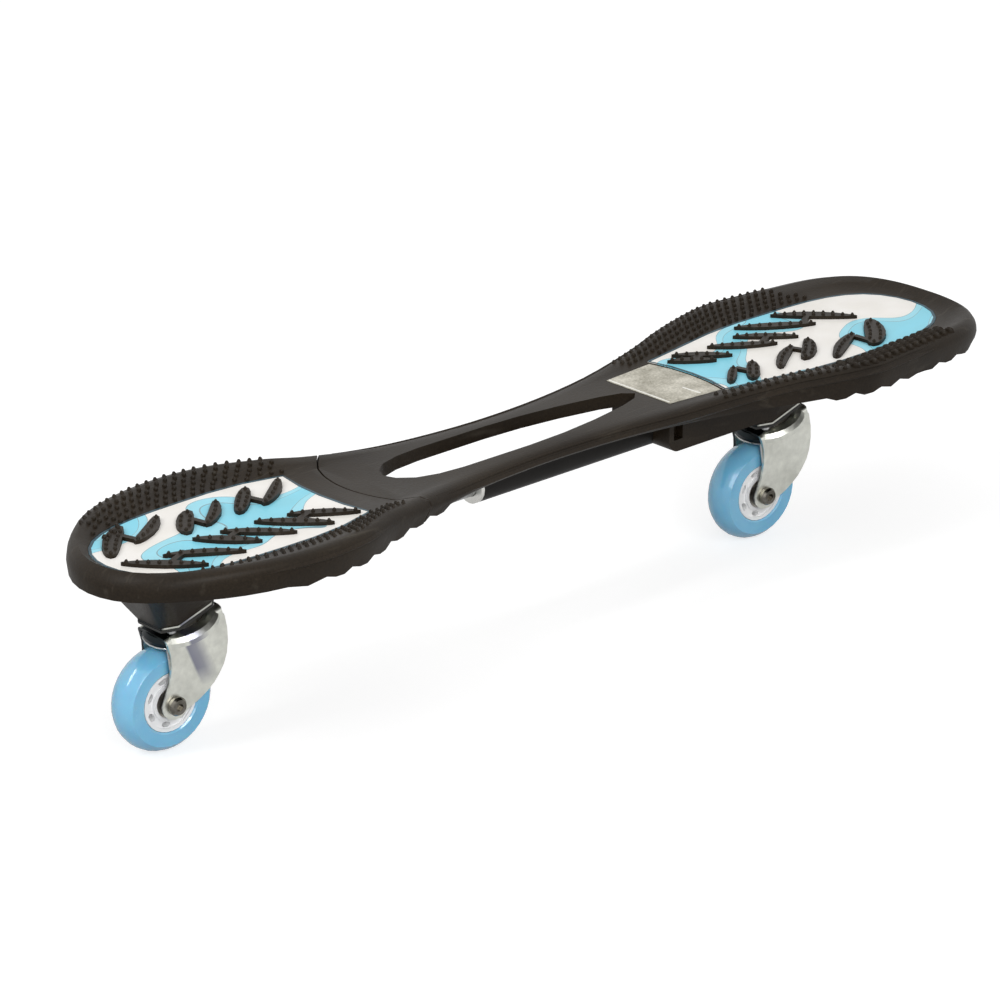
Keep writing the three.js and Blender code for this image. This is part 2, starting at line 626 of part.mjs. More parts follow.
function mountScrew(x, y) {
  const under = MOUNT_BOTTOM - FIT_GAP;
  const low = under - MOUNT_SCREW_HEAD_HEIGHT;
  const tip = MOUNT_TOP + MOUNT_SCREW_DEPTH - FIT_GAP;
  const profile = [[0, low], [MOUNT_SCREW_HEAD_RADIUS, low], [MOUNT_SCREW_HEAD_RADIUS, under],
    [MOUNT_SCREW_RADIUS, under], [MOUNT_SCREW_RADIUS, tip], [0, tip]];
  return toSolid(turned(profile, SMALL_SIDES).translate(x, y, 0));
}

// The kingpin's head sits on the mounting plate, in a pocket of the deck's boss
function kingpin() {
  const under = MOUNT_TOP + FIT_GAP;
  const end = -FORK_STEEL - 2 * FIT_GAP - KINGPIN_NUT_HEIGHT;
  const profile = [[0, end], [KINGPIN_RADIUS, end], [KINGPIN_RADIUS, under], [KINGPIN_HEAD_RADIUS, under],
    [KINGPIN_HEAD_RADIUS, under + KINGPIN_HEAD_HEIGHT], [0, under + KINGPIN_HEAD_HEIGHT]];
  return toSolid(turned(profile, RING_SIDES));
}

function kingpinNut() {
  const top = -FORK_STEEL - FIT_GAP;
  const nut = toSolid(rod(KINGPIN_NUT_RADIUS, top - KINGPIN_NUT_HEIGHT, top, HEX_SIDES));
  const bore = rod(KINGPIN_RADIUS + FIT_GAP, top - 2 * KINGPIN_NUT_HEIGHT, top + CUT_OVERRUN, RING_SIDES);
  return nut.subtract(toSolid(bore));
}

function raceRing() {
  const bore = KINGPIN_RADIUS + FIT_GAP;
  return toSolid(ring(bore, RACE_RADIUS, RACE_BOTTOM, RACE_BOTTOM + RACE_HEIGHT, RING_SIDES));
}

function smoothed(points) {
  return new THREE.SplineCurve(points).getPoints(points.length + 2);
}

function cheekOutline() {
  const shape = new THREE.Shape();
  const nose = CHEEK_NOSE_SHARES.map(([x, z]) => new THREE.Vector2(x * TRAIL, z * DROP));
  const tail = CHEEK_TAIL_SHARES.map(([x, z]) => new THREE.Vector2(x * TRAIL, z * DROP));
  shape.absarc(0, 0, FORK_EAR_RADIUS, Math.PI * 0.88, Math.PI * 1.7, false);
  for (const point of smoothed(nose)) shape.lineTo(point.x, point.y);
  shape.lineTo(tail[0].x, tail[0].y);
  for (const point of smoothed(tail)) shape.lineTo(point.x, point.y);
  shape.closePath();
  return shape;
}

// Section across the fork: a channel open below, with rounded shoulders
function channelSection() {
  const shape = new THREE.Shape();
  const outer = FORK_HALF_WIDTH;
  const inner = FORK_HALF_WIDTH - FORK_STEEL;
  const bend = FORK_BEND_RADIUS;
  const bendInside = FORK_BEND_RADIUS - FORK_STEEL;
  const bottom = -DROP - FORK_EAR_RADIUS - CUT_OVERRUN;
  shape.moveTo(-outer, bottom);
  shape.lineTo(-inner, bottom);
  shape.lineTo(-inner, -FORK_STEEL - bendInside);
  shape.absarc(-inner + bendInside, -FORK_STEEL - bendInside, bendInside, Math.PI, Math.PI / 2, true);
  shape.lineTo(inner - bendInside, -FORK_STEEL);
  shape.absarc(inner - bendInside, -FORK_STEEL - bendInside, bendInside, Math.PI / 2, 0, true);
  shape.lineTo(inner, bottom);
  shape.lineTo(outer, bottom);
  shape.lineTo(outer, -bend);
  shape.absarc(outer - bend, -bend, bend, 0, Math.PI / 2, false);
  shape.lineTo(-outer + bend, 0);
  shape.absarc(-outer + bend, -bend, bend, Math.PI / 2, Math.PI, false);
  shape.closePath();
  return shape;
}

// Round cap of the fork, turned down all round as a lip
function forkCap() {
  const low = -FORK_CAP_HEIGHT;
  const outer = FORK_CAP_RADIUS;
  const inner = FORK_CAP_RADIUS - FORK_STEEL;
  const bend = FORK_BEND_RADIUS;
  const profile = [[0, 0], [outer - 1.5 * bend, 0], [outer - 0.5 * bend, -0.3 * bend], [outer, -bend],
    [outer, low], [inner, low], [inner, -bend - FORK_STEEL / 2], [inner - bend, -FORK_STEEL],
    [0, -FORK_STEEL]];
  return toSolid(turned(profile, HUB_SIDES));
}

function fork() {
  const reach = TRAIL + FORK_HEAD_RADIUS + CUT_OVERRUN;
  const options = { depth: 2 * reach, bevelEnabled: false, curveSegments: CURVE_STEPS };
  const bar = new THREE.ExtrudeGeometry(channelSection(), options).translate(0, 0, -reach);
  const channel = toSolid(bar.rotateX(Math.PI / 2).rotateZ(Math.PI / 2));
  const side = toSolid(spreadAcross(cheekOutline(), 2 * FORK_HALF_WIDTH).translate(-TRAIL, 0, -DROP));
  const shoulder = -FORK_BEND_RADIUS - FORK_STEEL;
  const head = toSolid(rod(FORK_HEAD_RADIUS, shoulder, CUT_OVERRUN, HUB_SIDES));
  const legs = toSolid(box(-2 * reach, 2 * reach, -reach, reach, -2 * reach, shoulder));
  const pressed = channel.intersect(side).intersect(head.add(legs));
  const pinHole = rod(KINGPIN_RADIUS + FIT_GAP, -2 * FORK_STEEL, CUT_OVERRUN, RING_SIDES);
  const axleHole = alongY(rod(AXLE_RADIUS + FIT_GAP, -reach, reach, SMALL_SIDES));
  axleHole.translate(-TRAIL, 0, -DROP);
  return pressed.add(forkCap()).subtract(toSolid(pinHole)).subtract(toSolid(axleHole));
}

// Wheel pieces, with the axle along Y through the origin

const HUB_HALF = HUB_WIDTH / 2;
const BEARING_OUT = HUB_HALF;
const BEARING_IN = HUB_HALF - BEARING_WIDTH;

function tyre() {
  const half = TYRE_WIDTH / 2;
  const bore = HUB_RADIUS + FIT_GAP;
  const crownCentre = WHEEL_RADIUS - TREAD_CROWN_RADIUS;
  const widest = Math.asin(half / TREAD_CROWN_RADIUS);
  const steps = TREAD_STEPS;
  const profile = [[bore, -HUB_HALF], [crownCentre, -half]];
  for (let k = 0; k <= steps; k += 1) {
    const turn = -widest + 2 * widest * (k / steps);
    profile.push([crownCentre + TREAD_CROWN_RADIUS * Math.cos(turn), TREAD_CROWN_RADIUS * Math.sin(turn)]);
  }
  profile.push([crownCentre, half], [bore, HUB_HALF], [bore, -HUB_HALF]);
  return toSolid(alongY(turned(profile, TYRE_SIDES)));
}

function hub() {
  const seat = BEARING_RADIUS + FIT_GAP;
  const collar = seat + HUB_SEAT_WALL;
  const lip = HUB_RADIUS - HUB_LIP;
  const web = HUB_WEB_THICKNESS / 2;
  const bore = BEARING_SHIELD_RADIUS;
  const step = BEARING_IN - FIT_GAP;
  const half = [[bore, step], [seat, step], [seat, HUB_HALF], [collar, HUB_HALF], [collar, web],
    [lip, web], [lip, HUB_HALF], [HUB_RADIUS, HUB_HALF]];
  const mirrored = half.map(([radius, y]) => [radius, -y]).reverse();
  const profile = [...half, ...mirrored, half[0]];
  let solid = toSolid(alongY(turned(profile, HUB_SIDES)));
  const middle = (collar + lip) / 2;
  const windowHalf = (lip - collar) / 2 - HUB_WINDOW_EDGE;
  for (let k = 0; k < HUB_WINDOWS; k += 1) {
    const turn = (2 * Math.PI * k) / HUB_WINDOWS;
    const cutter = alongY(rod(windowHalf, -HUB_HALF, HUB_HALF, SMALL_SIDES)).scale(HUB_WINDOW_STRETCH, 1, 1);
    cutter.translate(0, 0, middle).rotateY(turn);
    solid = solid.subtract(toSolid(cutter));
  }
  return solid;
}

function bearingShell(side) {
  const shell = ring(BEARING_SHIELD_RADIUS, BEARING_RADIUS, BEARING_IN, BEARING_OUT, RING_SIDES);
  return toSolid(alongY(shell).scale(1, side, 1));
}

function bearingInner(side) {
  const outer = BEARING_SHIELD_RADIUS - FIT_GAP;
  const race = ring(BEARING_BORE_RADIUS, outer, BEARING_IN, BEARING_OUT, RING_SIDES);
  return toSolid(alongY(race).scale(1, side, 1));
}

function innerSleeve() {
  const outer = BEARING_SHIELD_RADIUS - 2 * FIT_GAP;
  const half = BEARING_IN - FIT_GAP;
  return toSolid(alongY(ring(BEARING_BORE_RADIUS, outer, -half, half, RING_SIDES)));
}

const CHEEK_INNER = FORK_HALF_WIDTH - FORK_STEEL;

function axleSpacer(side) {
  const outer = AXLE_SPACER_RADIUS - FIT_GAP;
  const spacer = ring(BEARING_BORE_RADIUS, outer, BEARING_OUT + FIT_GAP, CHEEK_INNER - FIT_GAP, RING_SIDES);
  return toSolid(alongY(spacer).scale(1, side, 1));
}

// Dome-headed axle bolt; its head is on the right of the board
function axleBolt() {
  const face = FORK_HALF_WIDTH + FIT_GAP;
  const end = FORK_HALF_WIDTH + FIT_GAP + AXLE_NUT_HEIGHT + AXLE_END_PROUD;
  const shoulder = face + AXLE_HEAD_HEIGHT * 0.55;
  const crown = face + AXLE_HEAD_HEIGHT;
  const profile = [[0, end], [AXLE_RADIUS, end], [AXLE_RADIUS, -face], [AXLE_HEAD_RADIUS, -face],
    [AXLE_HEAD_RADIUS, -shoulder], [AXLE_HEAD_RADIUS * 0.8, -crown], [0, -crown]];
  const bolt = toSolid(turned(profile, RING_SIDES).rotateX(-Math.PI / 2));
  const socket = rod(AXLE_SOCKET_RADIUS, crown - AXLE_HEAD_HEIGHT * 0.6, crown + CUT_OVERRUN, HEX_SIDES);
  return bolt.subtract(toSolid(socket.rotateX(-Math.PI / 2).scale(1, -1, 1)));
}

function axleNut() {
  const from = FORK_HALF_WIDTH + FIT_GAP;
  const nut = ring(AXLE_RADIUS + FIT_GAP, AXLE_NUT_RADIUS, from, from + AXLE_NUT_HEIGHT, SMALL_SIDES);
  const hex = rod(AXLE_NUT_RADIUS, from, from + AXLE_NUT_HEIGHT, HEX_SIDES);
  return toSolid(alongY(nut)).intersect(toSolid(alongY(hex)));
}

// One whole caster: what is fixed to the deck, what swivels and what rolls
function caster(end, pivotX) {
  const group = casterFrame(pivotX);
  group.add(piece(`${end}_mounting_plate`, mountingPlate(), ZINC));
  screwPlaces().forEach(([x, y], i) => {
    group.add(piece(`${end}_plate_screw_${i + 1}`, mountScrew(x, y), STEEL));
  });
  group.add(piece(`${end}_race_ring`, raceRing(), DARK_METAL));
  group.add(piece(`${end}_kingpin`, kingpin(), ZINC));
  group.add(piece(`${end}_kingpin_nut`, kingpinNut(), ZINC));
  const swivel = new THREE.Group();
  swivel.rotation.z = REST_SWIVEL;
  swivel.add(piece(`${end}_fork`, fork(), ZINC));
  const axle = new THREE.Group();
  axle.position.set(-TRAIL, 0, -DROP);
  axle.add(piece(`${end}_axle_bolt`, axleBolt(), STEEL));
  axle.add(piece(`${end}_axle_nut`, axleNut(), ZINC));
  axle.add(piece(`${end}_bearing_sleeve`, innerSleeve(), STEEL));
  for (const [hand, side] of [["left", 1], ["right", -1]]) {
    axle.add(piece(`${end}_axle_spacer_${hand}`, axleSpacer(side), ZINC));
    axle.add(piece(`${end}_bearing_inner_${hand}`, bearingInner(side), STEEL));
    axle.add(piece(`${end}_bearing_outer_${hand}`, bearingShell(side), DARK_METAL));
  }
  axle.add(piece(`${end}_hub`, hub(), HUB_WHITE));
  axle.add(piece(`${end}_tyre`, tyre(), TYRE_BLUE));
  swivel.add(axle);
  group.add(swivel);
  return group;
}

// Foot inserts

// Tread pads of one foot, placed on it
function treadStrokes(shares, inner, outer) {
  const side = Math.sign(outer) * -1;
  const place = (along, across) => {
    const x = outer + (inner - outer) * along;
    return new THREE.Vector2(x, side * INSERT_HALF_WIDTH * across);
  };
  return shares.map(([along0, across0, along1, across1, width, bend, taper]) => ({
    from: place(along0, across0),
    to: place(along1, across1),
    half: (width * BAR_WIDTH) / 2,
    bend: bend * BAR_WIDTH,
    taper,
  }));
}

// A bent blade, widest at its middle
function strokeOutline({ from, to, half, bend, taper }, grow) {
  const along = to.clone().sub(from).normalize();
  const across = new THREE.Vector2(-along.y, along.x);
  const count = Math.max(2, Math.round(from.distanceTo(to) / PAD_STEP_LENGTH));
  const steps = taper > 0 ? count : 1;
  const sides = [[], []];
  for (let k = 0; k <= steps; k += 1) {
    const share = (1 - Math.cos(Math.PI * (k / steps))) / 2;
    const bulge = Math.sin(Math.PI * share);
    const centre = from.clone().lerp(to, share).addScaledVector(across, bend * bulge);
    centre.addScaledVector(along, grow * (2 * share - 1));
    const reach = taper > 0 ? half * bulge ** taper : half;
    if (reach < WELD_DISTANCE) {
      sides[0].push(centre);
    } else {
      sides[0].push(centre.clone().addScaledVector(across, reach + grow));
      sides[1].push(centre.clone().addScaledVector(across, -reach - grow));
    }
  }
  return new THREE.Shape([...sides[0], ...sides[1].reverse()]);
}

function padSolids(strokes, grow, bottom, top) {
  return joined(strokes.map((stroke) => toSolid(raised(strokeOutline(stroke, grow), bottom, top))));
}

// Outline of a foot insert, which follows the deck's edge and is hollow towards the waist
function insertOutline({ inner, outer, squareness }, grow) {
  const direction = Math.sign(outer - inner);
  const length = Math.abs(outer - inner);
  const edge = [];
  for (let k = 0; k <= INSERT_STEPS; k += 1) {
    const share = 1 - (1 - k / INSERT_STEPS) ** 2;
    const x = inner + direction * length * share;
    const width = Math.min(halfWidthAt(x) * (1 - BORDER_SHARE), INSERT_HALF_WIDTH);
    const round = (1 - share ** squareness) ** 0.5;
    edge.push([x + direction * grow * share, (width + grow) * round]);
  }
  const start = edge[0][0] - direction * grow;
  const shape = new THREE.Shape();
  shape.moveTo(start, -edge[0][1]);
  for (const [x, y] of edge.slice(0, -1)) shape.lineTo(x, -y);
  for (const [x, y] of edge.reverse()) shape.lineTo(x, y);
  shape.lineTo(start, edge[edge.length - 1][1]);
  shape.quadraticCurveTo(start + direction * 2 * INSERT_HOLLOW, 0, start, -edge[edge.length - 1][1]);
  return shape;
}

function insertRecess(foot) {
  const floor = FOOT_LEVEL - INSERT_THICKNESS - FIT_GAP;
  return toSolid(raised(insertOutline(foot, FIT_GAP), floor, FOOT_LEVEL + RIM_RISE));
}

function insertSheet(foot) {
  const sheet = toSolid(raised(insertOutline(foot, 0), FOOT_LEVEL - INSERT_THICKNESS, FOOT_LEVEL));
  const [bottom, top] = [FOOT_LEVEL - 2 * INSERT_THICKNESS, FOOT_LEVEL + CUT_OVERRUN];
  return sheet.subtract(padSolids(foot.strokes, FIT_GAP, bottom, top));
}

function insertPads(foot) {
  return padSolids(foot.strokes, 0, FOOT_LEVEL - 2 * INSERT_THICKNESS, FOOT_LEVEL + PAD_HEIGHT);
}

function footOf(inner, outer, squareness, shares) {
  return { inner, outer, squareness, strokes: treadStrokes(shares, inner, outer) };
}

const TAIL_FOOT = footOf(TAIL_INSERT_INNER_X, TAIL_INSERT_OUTER_X, TAIL_INSERT_SQUARENESS, TAIL_PAD_SHARES);
const NOSE_FOOT = footOf(NOSE_INSERT_INNER_X, NOSE_INSERT_OUTER_X, NOSE_INSERT_SQUARENESS, NOSE_PAD_SHARES);

// Foil label on the waist, which follows the edge of the nose insert
function labelSolid(grow, bottom, top) {
  const from = LABEL_X - grow;
  const to = LABEL_X + LABEL_LENGTH + grow;
  const narrow = LABEL_HALF_WIDTH + grow;
  const wide = narrow + LABEL_LENGTH * LABEL_FLARE_SHARE;
  const shape = new THREE.Shape();
  shape.moveTo(from, -narrow);
  shape.lineTo(to, -wide);
  shape.quadraticCurveTo(to + 2 * INSERT_HOLLOW, 0, to, wide);
  shape.lineTo(from, narrow);
  shape.closePath();
  return toSolid(raised(shape, bottom, top));
}

const LABEL_BOTTOM = WAIST_LEVEL - LABEL_THICKNESS / 2;

// Torsion unit

function tubeAt(geometry) {
  return toSolid(alongX(geometry).translate(0, 0, TWIST_LEVEL));
}

const COLLAR_RADIUS = TUBE_RADIUS + COLLAR_WALL;
const LOCK_SCREW_X = TUBE_NOSE_X - 2 * LOCK_SCREW_RADIUS;

function lockScrew(grow) {
  const seat = TWIST_LEVEL - COLLAR_RADIUS - FIT_GAP;
  const head = seat - LOCK_SCREW_HEAD_HEIGHT;
  const tip = TWIST_LEVEL - TUBE_BORE_RADIUS - FIT_GAP;
  const profile = [[0, head], [LOCK_SCREW_HEAD_RADIUS + grow, head], [LOCK_SCREW_HEAD_RADIUS + grow, seat],
    [LOCK_SCREW_RADIUS + grow, seat], [LOCK_SCREW_RADIUS + grow, tip + 2 * grow], [0, tip + 2 * grow]];
  return toSolid(turned(profile, SMALL_SIDES).translate(LOCK_SCREW_X, 0, 0));
}

function torsionTube() {
  const wall = tubeAt(ring(TUBE_BORE_RADIUS, TUBE_RADIUS, TUBE_TAIL_X, TUBE_NOSE_X, RING_SIDES));
  return wall.subtract(lockScrew(FIT_GAP));
}

function tubeEndRing() {
  const from = TUBE_TAIL_X - FIT_GAP - END_RING_LENGTH;
  return tubeAt(ring(SHAFT_RADIUS + FIT_GAP, TUBE_RADIUS, from, from + END_RING_LENGTH, RING_SIDES));
}

function torsionRubber() {
  const [inner, outer] = [SHAFT_RADIUS + FIT_GAP, TUBE_BORE_RADIUS - FIT_GAP];
  return tubeAt(ring(inner, outer, TUBE_TAIL_X + FIT_GAP, TUBE_TAIL_X + RUBBER_LENGTH, RING_SIDES));
}

const CROSS_PIN_X = SEAM_X - TAIL_BOSS_LENGTH / 2;

function crossPin(grow) {
  const reach = TAIL_BOSS_RADIUS + grow * 4;
  const pin = alongY(rod(CROSS_PIN_RADIUS + grow, -reach, reach, SMALL_SIDES));
  return toSolid(pin.translate(CROSS_PIN_X, 0, TWIST_LEVEL));
}

function torsionShaft() {
  const from = SEAM_X - TAIL_BOSS_LENGTH * 0.75 + FIT_GAP;
  const to = TUBE_TAIL_X + RUBBER_LENGTH;
  return tubeAt(rod(SHAFT_RADIUS, from, to, RING_SIDES)).subtract(crossPin(FIT_GAP));
}

function waistBushing() {
  const inner = SHAFT_RADIUS + FIT_GAP;
  const from = SEAM_X + BUSHING_WALL;
  return tubeAt(ring(inner, inner + BUSHING_WALL, from, WAIST_BOSS_NOSE_X, RING_SIDES));
}

// Housing that holds the tube's nose end and runs into the caster's boss
function torsionHousing() {
  const shape = new THREE.Shape();
  const top = FOOT_LEVEL - PLATE_THICKNESS / 2;
  const end = NOSE_PIVOT_X;
  shape.moveTo(HOUSING_TAIL_X, top);
  shape.lineTo(HOUSING_TAIL_X, HOUSING_LEVEL + HOUSING_ROUND);
  shape.absarc(HOUSING_TAIL_X + HOUSING_ROUND, HOUSING_LEVEL + HOUSING_ROUND, HOUSING_ROUND,
    Math.PI, Math.PI * 1.5, false);
  shape.lineTo(end - MOUNT_HALF_LENGTH, HOUSING_LEVEL);
  shape.lineTo(end, top - PLATE_THICKNESS);
  shape.lineTo(end, top);
  shape.closePath();
  let block = toSolid(spreadAcross(shape, HOUSING_HALF_WIDTH));
  const pocketX = HOUSING_TAIL_X + HOUSING_ROUND / 2;
  const pocketLevel = HOUSING_LEVEL + HOUSING_ROUND;
  for (const side of [-1, 1]) {
    const [near, far] = [HOUSING_HALF_WIDTH - HOUSING_POCKET_DEPTH, HOUSING_HALF_WIDTH + CUT_OVERRUN];
    const pocket = box(pocketX, pocketX + HOUSING_POCKET_LENGTH, near, far, pocketLevel,
      pocketLevel + HOUSING_POCKET_HEIGHT);
    block = block.subtract(toSolid(pocket.scale(1, side, 1)));
  }
  const collarTail = HOUSING_TAIL_X + COLLAR_SETBACK;
  return block.add(tubeAt(rod(COLLAR_RADIUS, collarTail, TUBE_NOSE_X + COLLAR_WALL, RING_SIDES)));
}

function waistBoss() {
  const neck = tubeAt(rod(WAIST_BOSS_RADIUS, SEAM_X, WAIST_BOSS_NOSE_X, RING_SIDES));
  const half = WAIST_BOSS_RADIUS / 2;
  const web = box(SEAM_X, WAIST_BOSS_NOSE_X, -half, half, TWIST_LEVEL, WAIST_LEVEL - LABEL_THICKNESS);
  return neck.add(toSolid(web));
}

// Space below a boss's seat, kept clear for the plate and the swivelling fork
function mountClearance(pivotX) {
  const frame = casterFrame(pivotX).matrix;
  const wide = FORK_HEAD_RADIUS + TRAIL;
  const space = box(-wide, wide, -wide, wide, -wide, MOUNT_TOP + FIT_GAP);
  return toSolid(space.applyMatrix4(frame));
}

const board = toSolid(boardSkin()).subtract(slotCutter());

function noseDeck() {
  let deck = board.subtract(deckHollow(NOSE_INSERT_INNER_X, NOSE_TIP_X));
  deck = joined([deck, torsionHousing(), casterBoss(NOSE_PIVOT_X), waistBoss()]);
  deck = deck.intersect(toSolid(noseSide(0))).subtract(mountClearance(NOSE_PIVOT_X));
  const tubeEnds = [HOUSING_TAIL_X - CUT_OVERRUN, TUBE_NOSE_X + FIT_GAP];
  const tubeHole = rod(TUBE_RADIUS + FIT_GAP, ...tubeEnds, RING_SIDES);
  const bushingHole = rod(SHAFT_RADIUS + BUSHING_WALL + 2 * FIT_GAP, SEAM_X - CUT_OVERRUN,
    WAIST_BOSS_NOSE_X + CUT_OVERRUN, RING_SIDES);
  deck = deck.subtract(tubeAt(tubeHole)).subtract(tubeAt(bushingHole)).subtract(lockScrew(FIT_GAP));
  deck = deck.subtract(labelSolid(FIT_GAP, LABEL_BOTTOM - FIT_GAP, FOOT_LEVEL + RIM_RISE));
  return deck.subtract(insertRecess(NOSE_FOOT)).add(insertPads(NOSE_FOOT));
}

function tailDeck() {
  let deck = board.subtract(deckHollow(TAIL_TIP_X, TAIL_INSERT_INNER_X));
  const start = SEAM_X - TAIL_BOSS_LENGTH;
  const anchor = tubeAt(rod(TAIL_BOSS_RADIUS, start, SEAM_X, RING_SIDES));
  const half = TAIL_BOSS_RADIUS;
  const web = toSolid(box(start, SEAM_X, -half, half, TWIST_LEVEL, FOOT_LEVEL - PLATE_THICKNESS / 2));
  deck = joined([deck, casterBoss(TAIL_PIVOT_X), anchor, web]);
  deck = deck.subtract(toSolid(noseSide(SEAM_GAP))).subtract(mountClearance(TAIL_PIVOT_X));
  const boreEnds = [start + TAIL_BOSS_LENGTH / 4, SEAM_X + CUT_OVERRUN];
  const bore = rod(SHAFT_RADIUS + FIT_GAP, ...boreEnds, RING_SIDES);
  deck = deck.subtract(tubeAt(bore)).subtract(crossPin(FIT_GAP));
  return deck.subtract(insertRecess(TAIL_FOOT)).add(insertPads(TAIL_FOOT));
}

const model = new THREE.Group();
model.position.x = -(NOSE_TIP_X + TAIL_TIP_X) / 2;
model.add(piece("nose_deck", noseDeck(), PLASTIC));
model.add(piece("tail_deck", tailDeck(), PLASTIC));
model.add(piece("nose_insert", insertSheet(NOSE_FOOT), BLUE_SHEET));
model.add(piece("tail_insert", insertSheet(TAIL_FOOT), BLUE_SHEET));
model.add(piece("foil_label", labelSolid(0, LABEL_BOTTOM, LABEL_BOTTOM + LABEL_THICKNESS), FOIL));
model.add(piece("torsion_tube", torsionTube(), DARK_METAL));
model.add(piece("tube_end_ring", tubeEndRing(), STEEL));
model.add(piece("tube_lock_screw", lockScrew(0), STEEL));
model.add(piece("torsion_rubber", torsionRubber(), RUBBER));
model.add(piece("torsion_shaft", torsionShaft(), STEEL));
model.add(piece("waist_bushing", waistBushing(), RUBBER));
model.add(piece("cross_pin", crossPin(0), STEEL));
model.add(caster("nose", NOSE_PIVOT_X));
model.add(caster("tail", TAIL_PIVOT_X));

export default model;
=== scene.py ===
import json
import math

import bmesh
import bpy
from mathutils import Matrix, Vector
from mathutils.bvhtree import BVHTree

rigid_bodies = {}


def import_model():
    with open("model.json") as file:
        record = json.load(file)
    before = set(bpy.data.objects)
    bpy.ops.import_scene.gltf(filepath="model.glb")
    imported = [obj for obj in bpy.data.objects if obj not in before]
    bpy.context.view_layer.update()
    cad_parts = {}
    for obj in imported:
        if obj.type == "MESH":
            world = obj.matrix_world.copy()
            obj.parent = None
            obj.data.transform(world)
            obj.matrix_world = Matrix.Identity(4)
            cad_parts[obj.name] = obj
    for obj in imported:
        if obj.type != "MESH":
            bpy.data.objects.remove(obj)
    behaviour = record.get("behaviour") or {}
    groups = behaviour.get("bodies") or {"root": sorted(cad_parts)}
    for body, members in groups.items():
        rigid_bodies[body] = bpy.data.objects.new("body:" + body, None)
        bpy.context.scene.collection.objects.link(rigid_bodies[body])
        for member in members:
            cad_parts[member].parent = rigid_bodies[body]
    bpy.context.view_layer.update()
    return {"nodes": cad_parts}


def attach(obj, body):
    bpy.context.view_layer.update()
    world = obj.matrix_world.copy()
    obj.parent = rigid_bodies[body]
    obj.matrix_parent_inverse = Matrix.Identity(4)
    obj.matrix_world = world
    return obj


# The scene starts empty
for spare in list(bpy.data.objects):
    bpy.data.objects.remove(spare)

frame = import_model()

# Caster board, nose towards +X, top up. Lengths in metres.
MM = 0.001
NODES = frame["nodes"]

# Places that the solids also use
BOARD_SHIFT = -4.25 * MM
FOOT_LEVEL = 147 * MM
PAD_TOP = 149.6 * MM
PAD_SPAN = 57 * MM
BAR_WIDTH = 8 * MM
AXLE_LEVEL = 38 * MM
AXLE_X = {"tail": -350.714 * MM, "nose": 218.286 * MM}
SWIVEL_AXIS = Vector((-0.292372, 0, 0.956305)).normalized()
# Direction across the painted dark reflection band on the tail fork's cheek, in x and z
REFLECTION_BAND_ACROSS = (0.922, 0.388)
# The body that each deck rides on
DECK_BODY = {"tail": "tail", "nose": "front"}
WHITE = (1.0, 1.0, 1.0, 1.0)


def linear(code):
    """An sRGB hex colour as linear RGBA."""
    shares = [int(code[k:k + 2], 16) / 255 for k in (1, 3, 5)]
    return (*[s / 12.92 if s <= 0.04045 else ((s + 0.055) / 1.055) ** 2.4 for s in shares], 1.0)


def add(tree, kind, inputs=None, stops=None, **settings):
    """Adds a node with its settings, then fills or links its inputs. Stops are a colour ramp's."""
    node = tree.nodes.new(kind)
    for key, value in settings.items():
        setattr(node, key, value)
    for key, value in (inputs or {}).items():
        if isinstance(value, bpy.types.NodeSocket):
            tree.links.new(value, node.inputs[key])
        else:
            node.inputs[key].default_value = value
    if stops:
        first, *middle, last = stops
        elements = node.color_ramp.elements
        elements[0].position, elements[0].color = first
        elements[1].position, elements[1].color = last
        for place, colour in middle:
            elements.new(place).color = colour
    return node


def begin(name, **values):
    """A new material with its shader, and the coordinates of the rigid body that it lies on."""
    material = bpy.data.materials.new(name)
    material.use_nodes = True
    tree = material.node_tree
    tree.nodes.clear()
    inputs = {key.replace("_", " "): value for key, value in values.items()}
    shader = add(tree, "ShaderNodeBsdfPrincipled", inputs)
    add(tree, "ShaderNodeOutputMaterial", {"Surface": shader.outputs[0]})
    place = add(tree, "ShaderNodeTexCoord").outputs["Object"]
    return material, tree, shader, place


def surface_from(tree, shader, colour, gloss, relief):
    """Gives the shader its colour, roughness and bump."""
    tree.links.new(colour, shader.inputs["Base Color"])
    tree.links.new(gloss.outputs[0], shader.inputs["Roughness"])
    tree.links.new(relief.outputs[0], shader.inputs["Normal"])


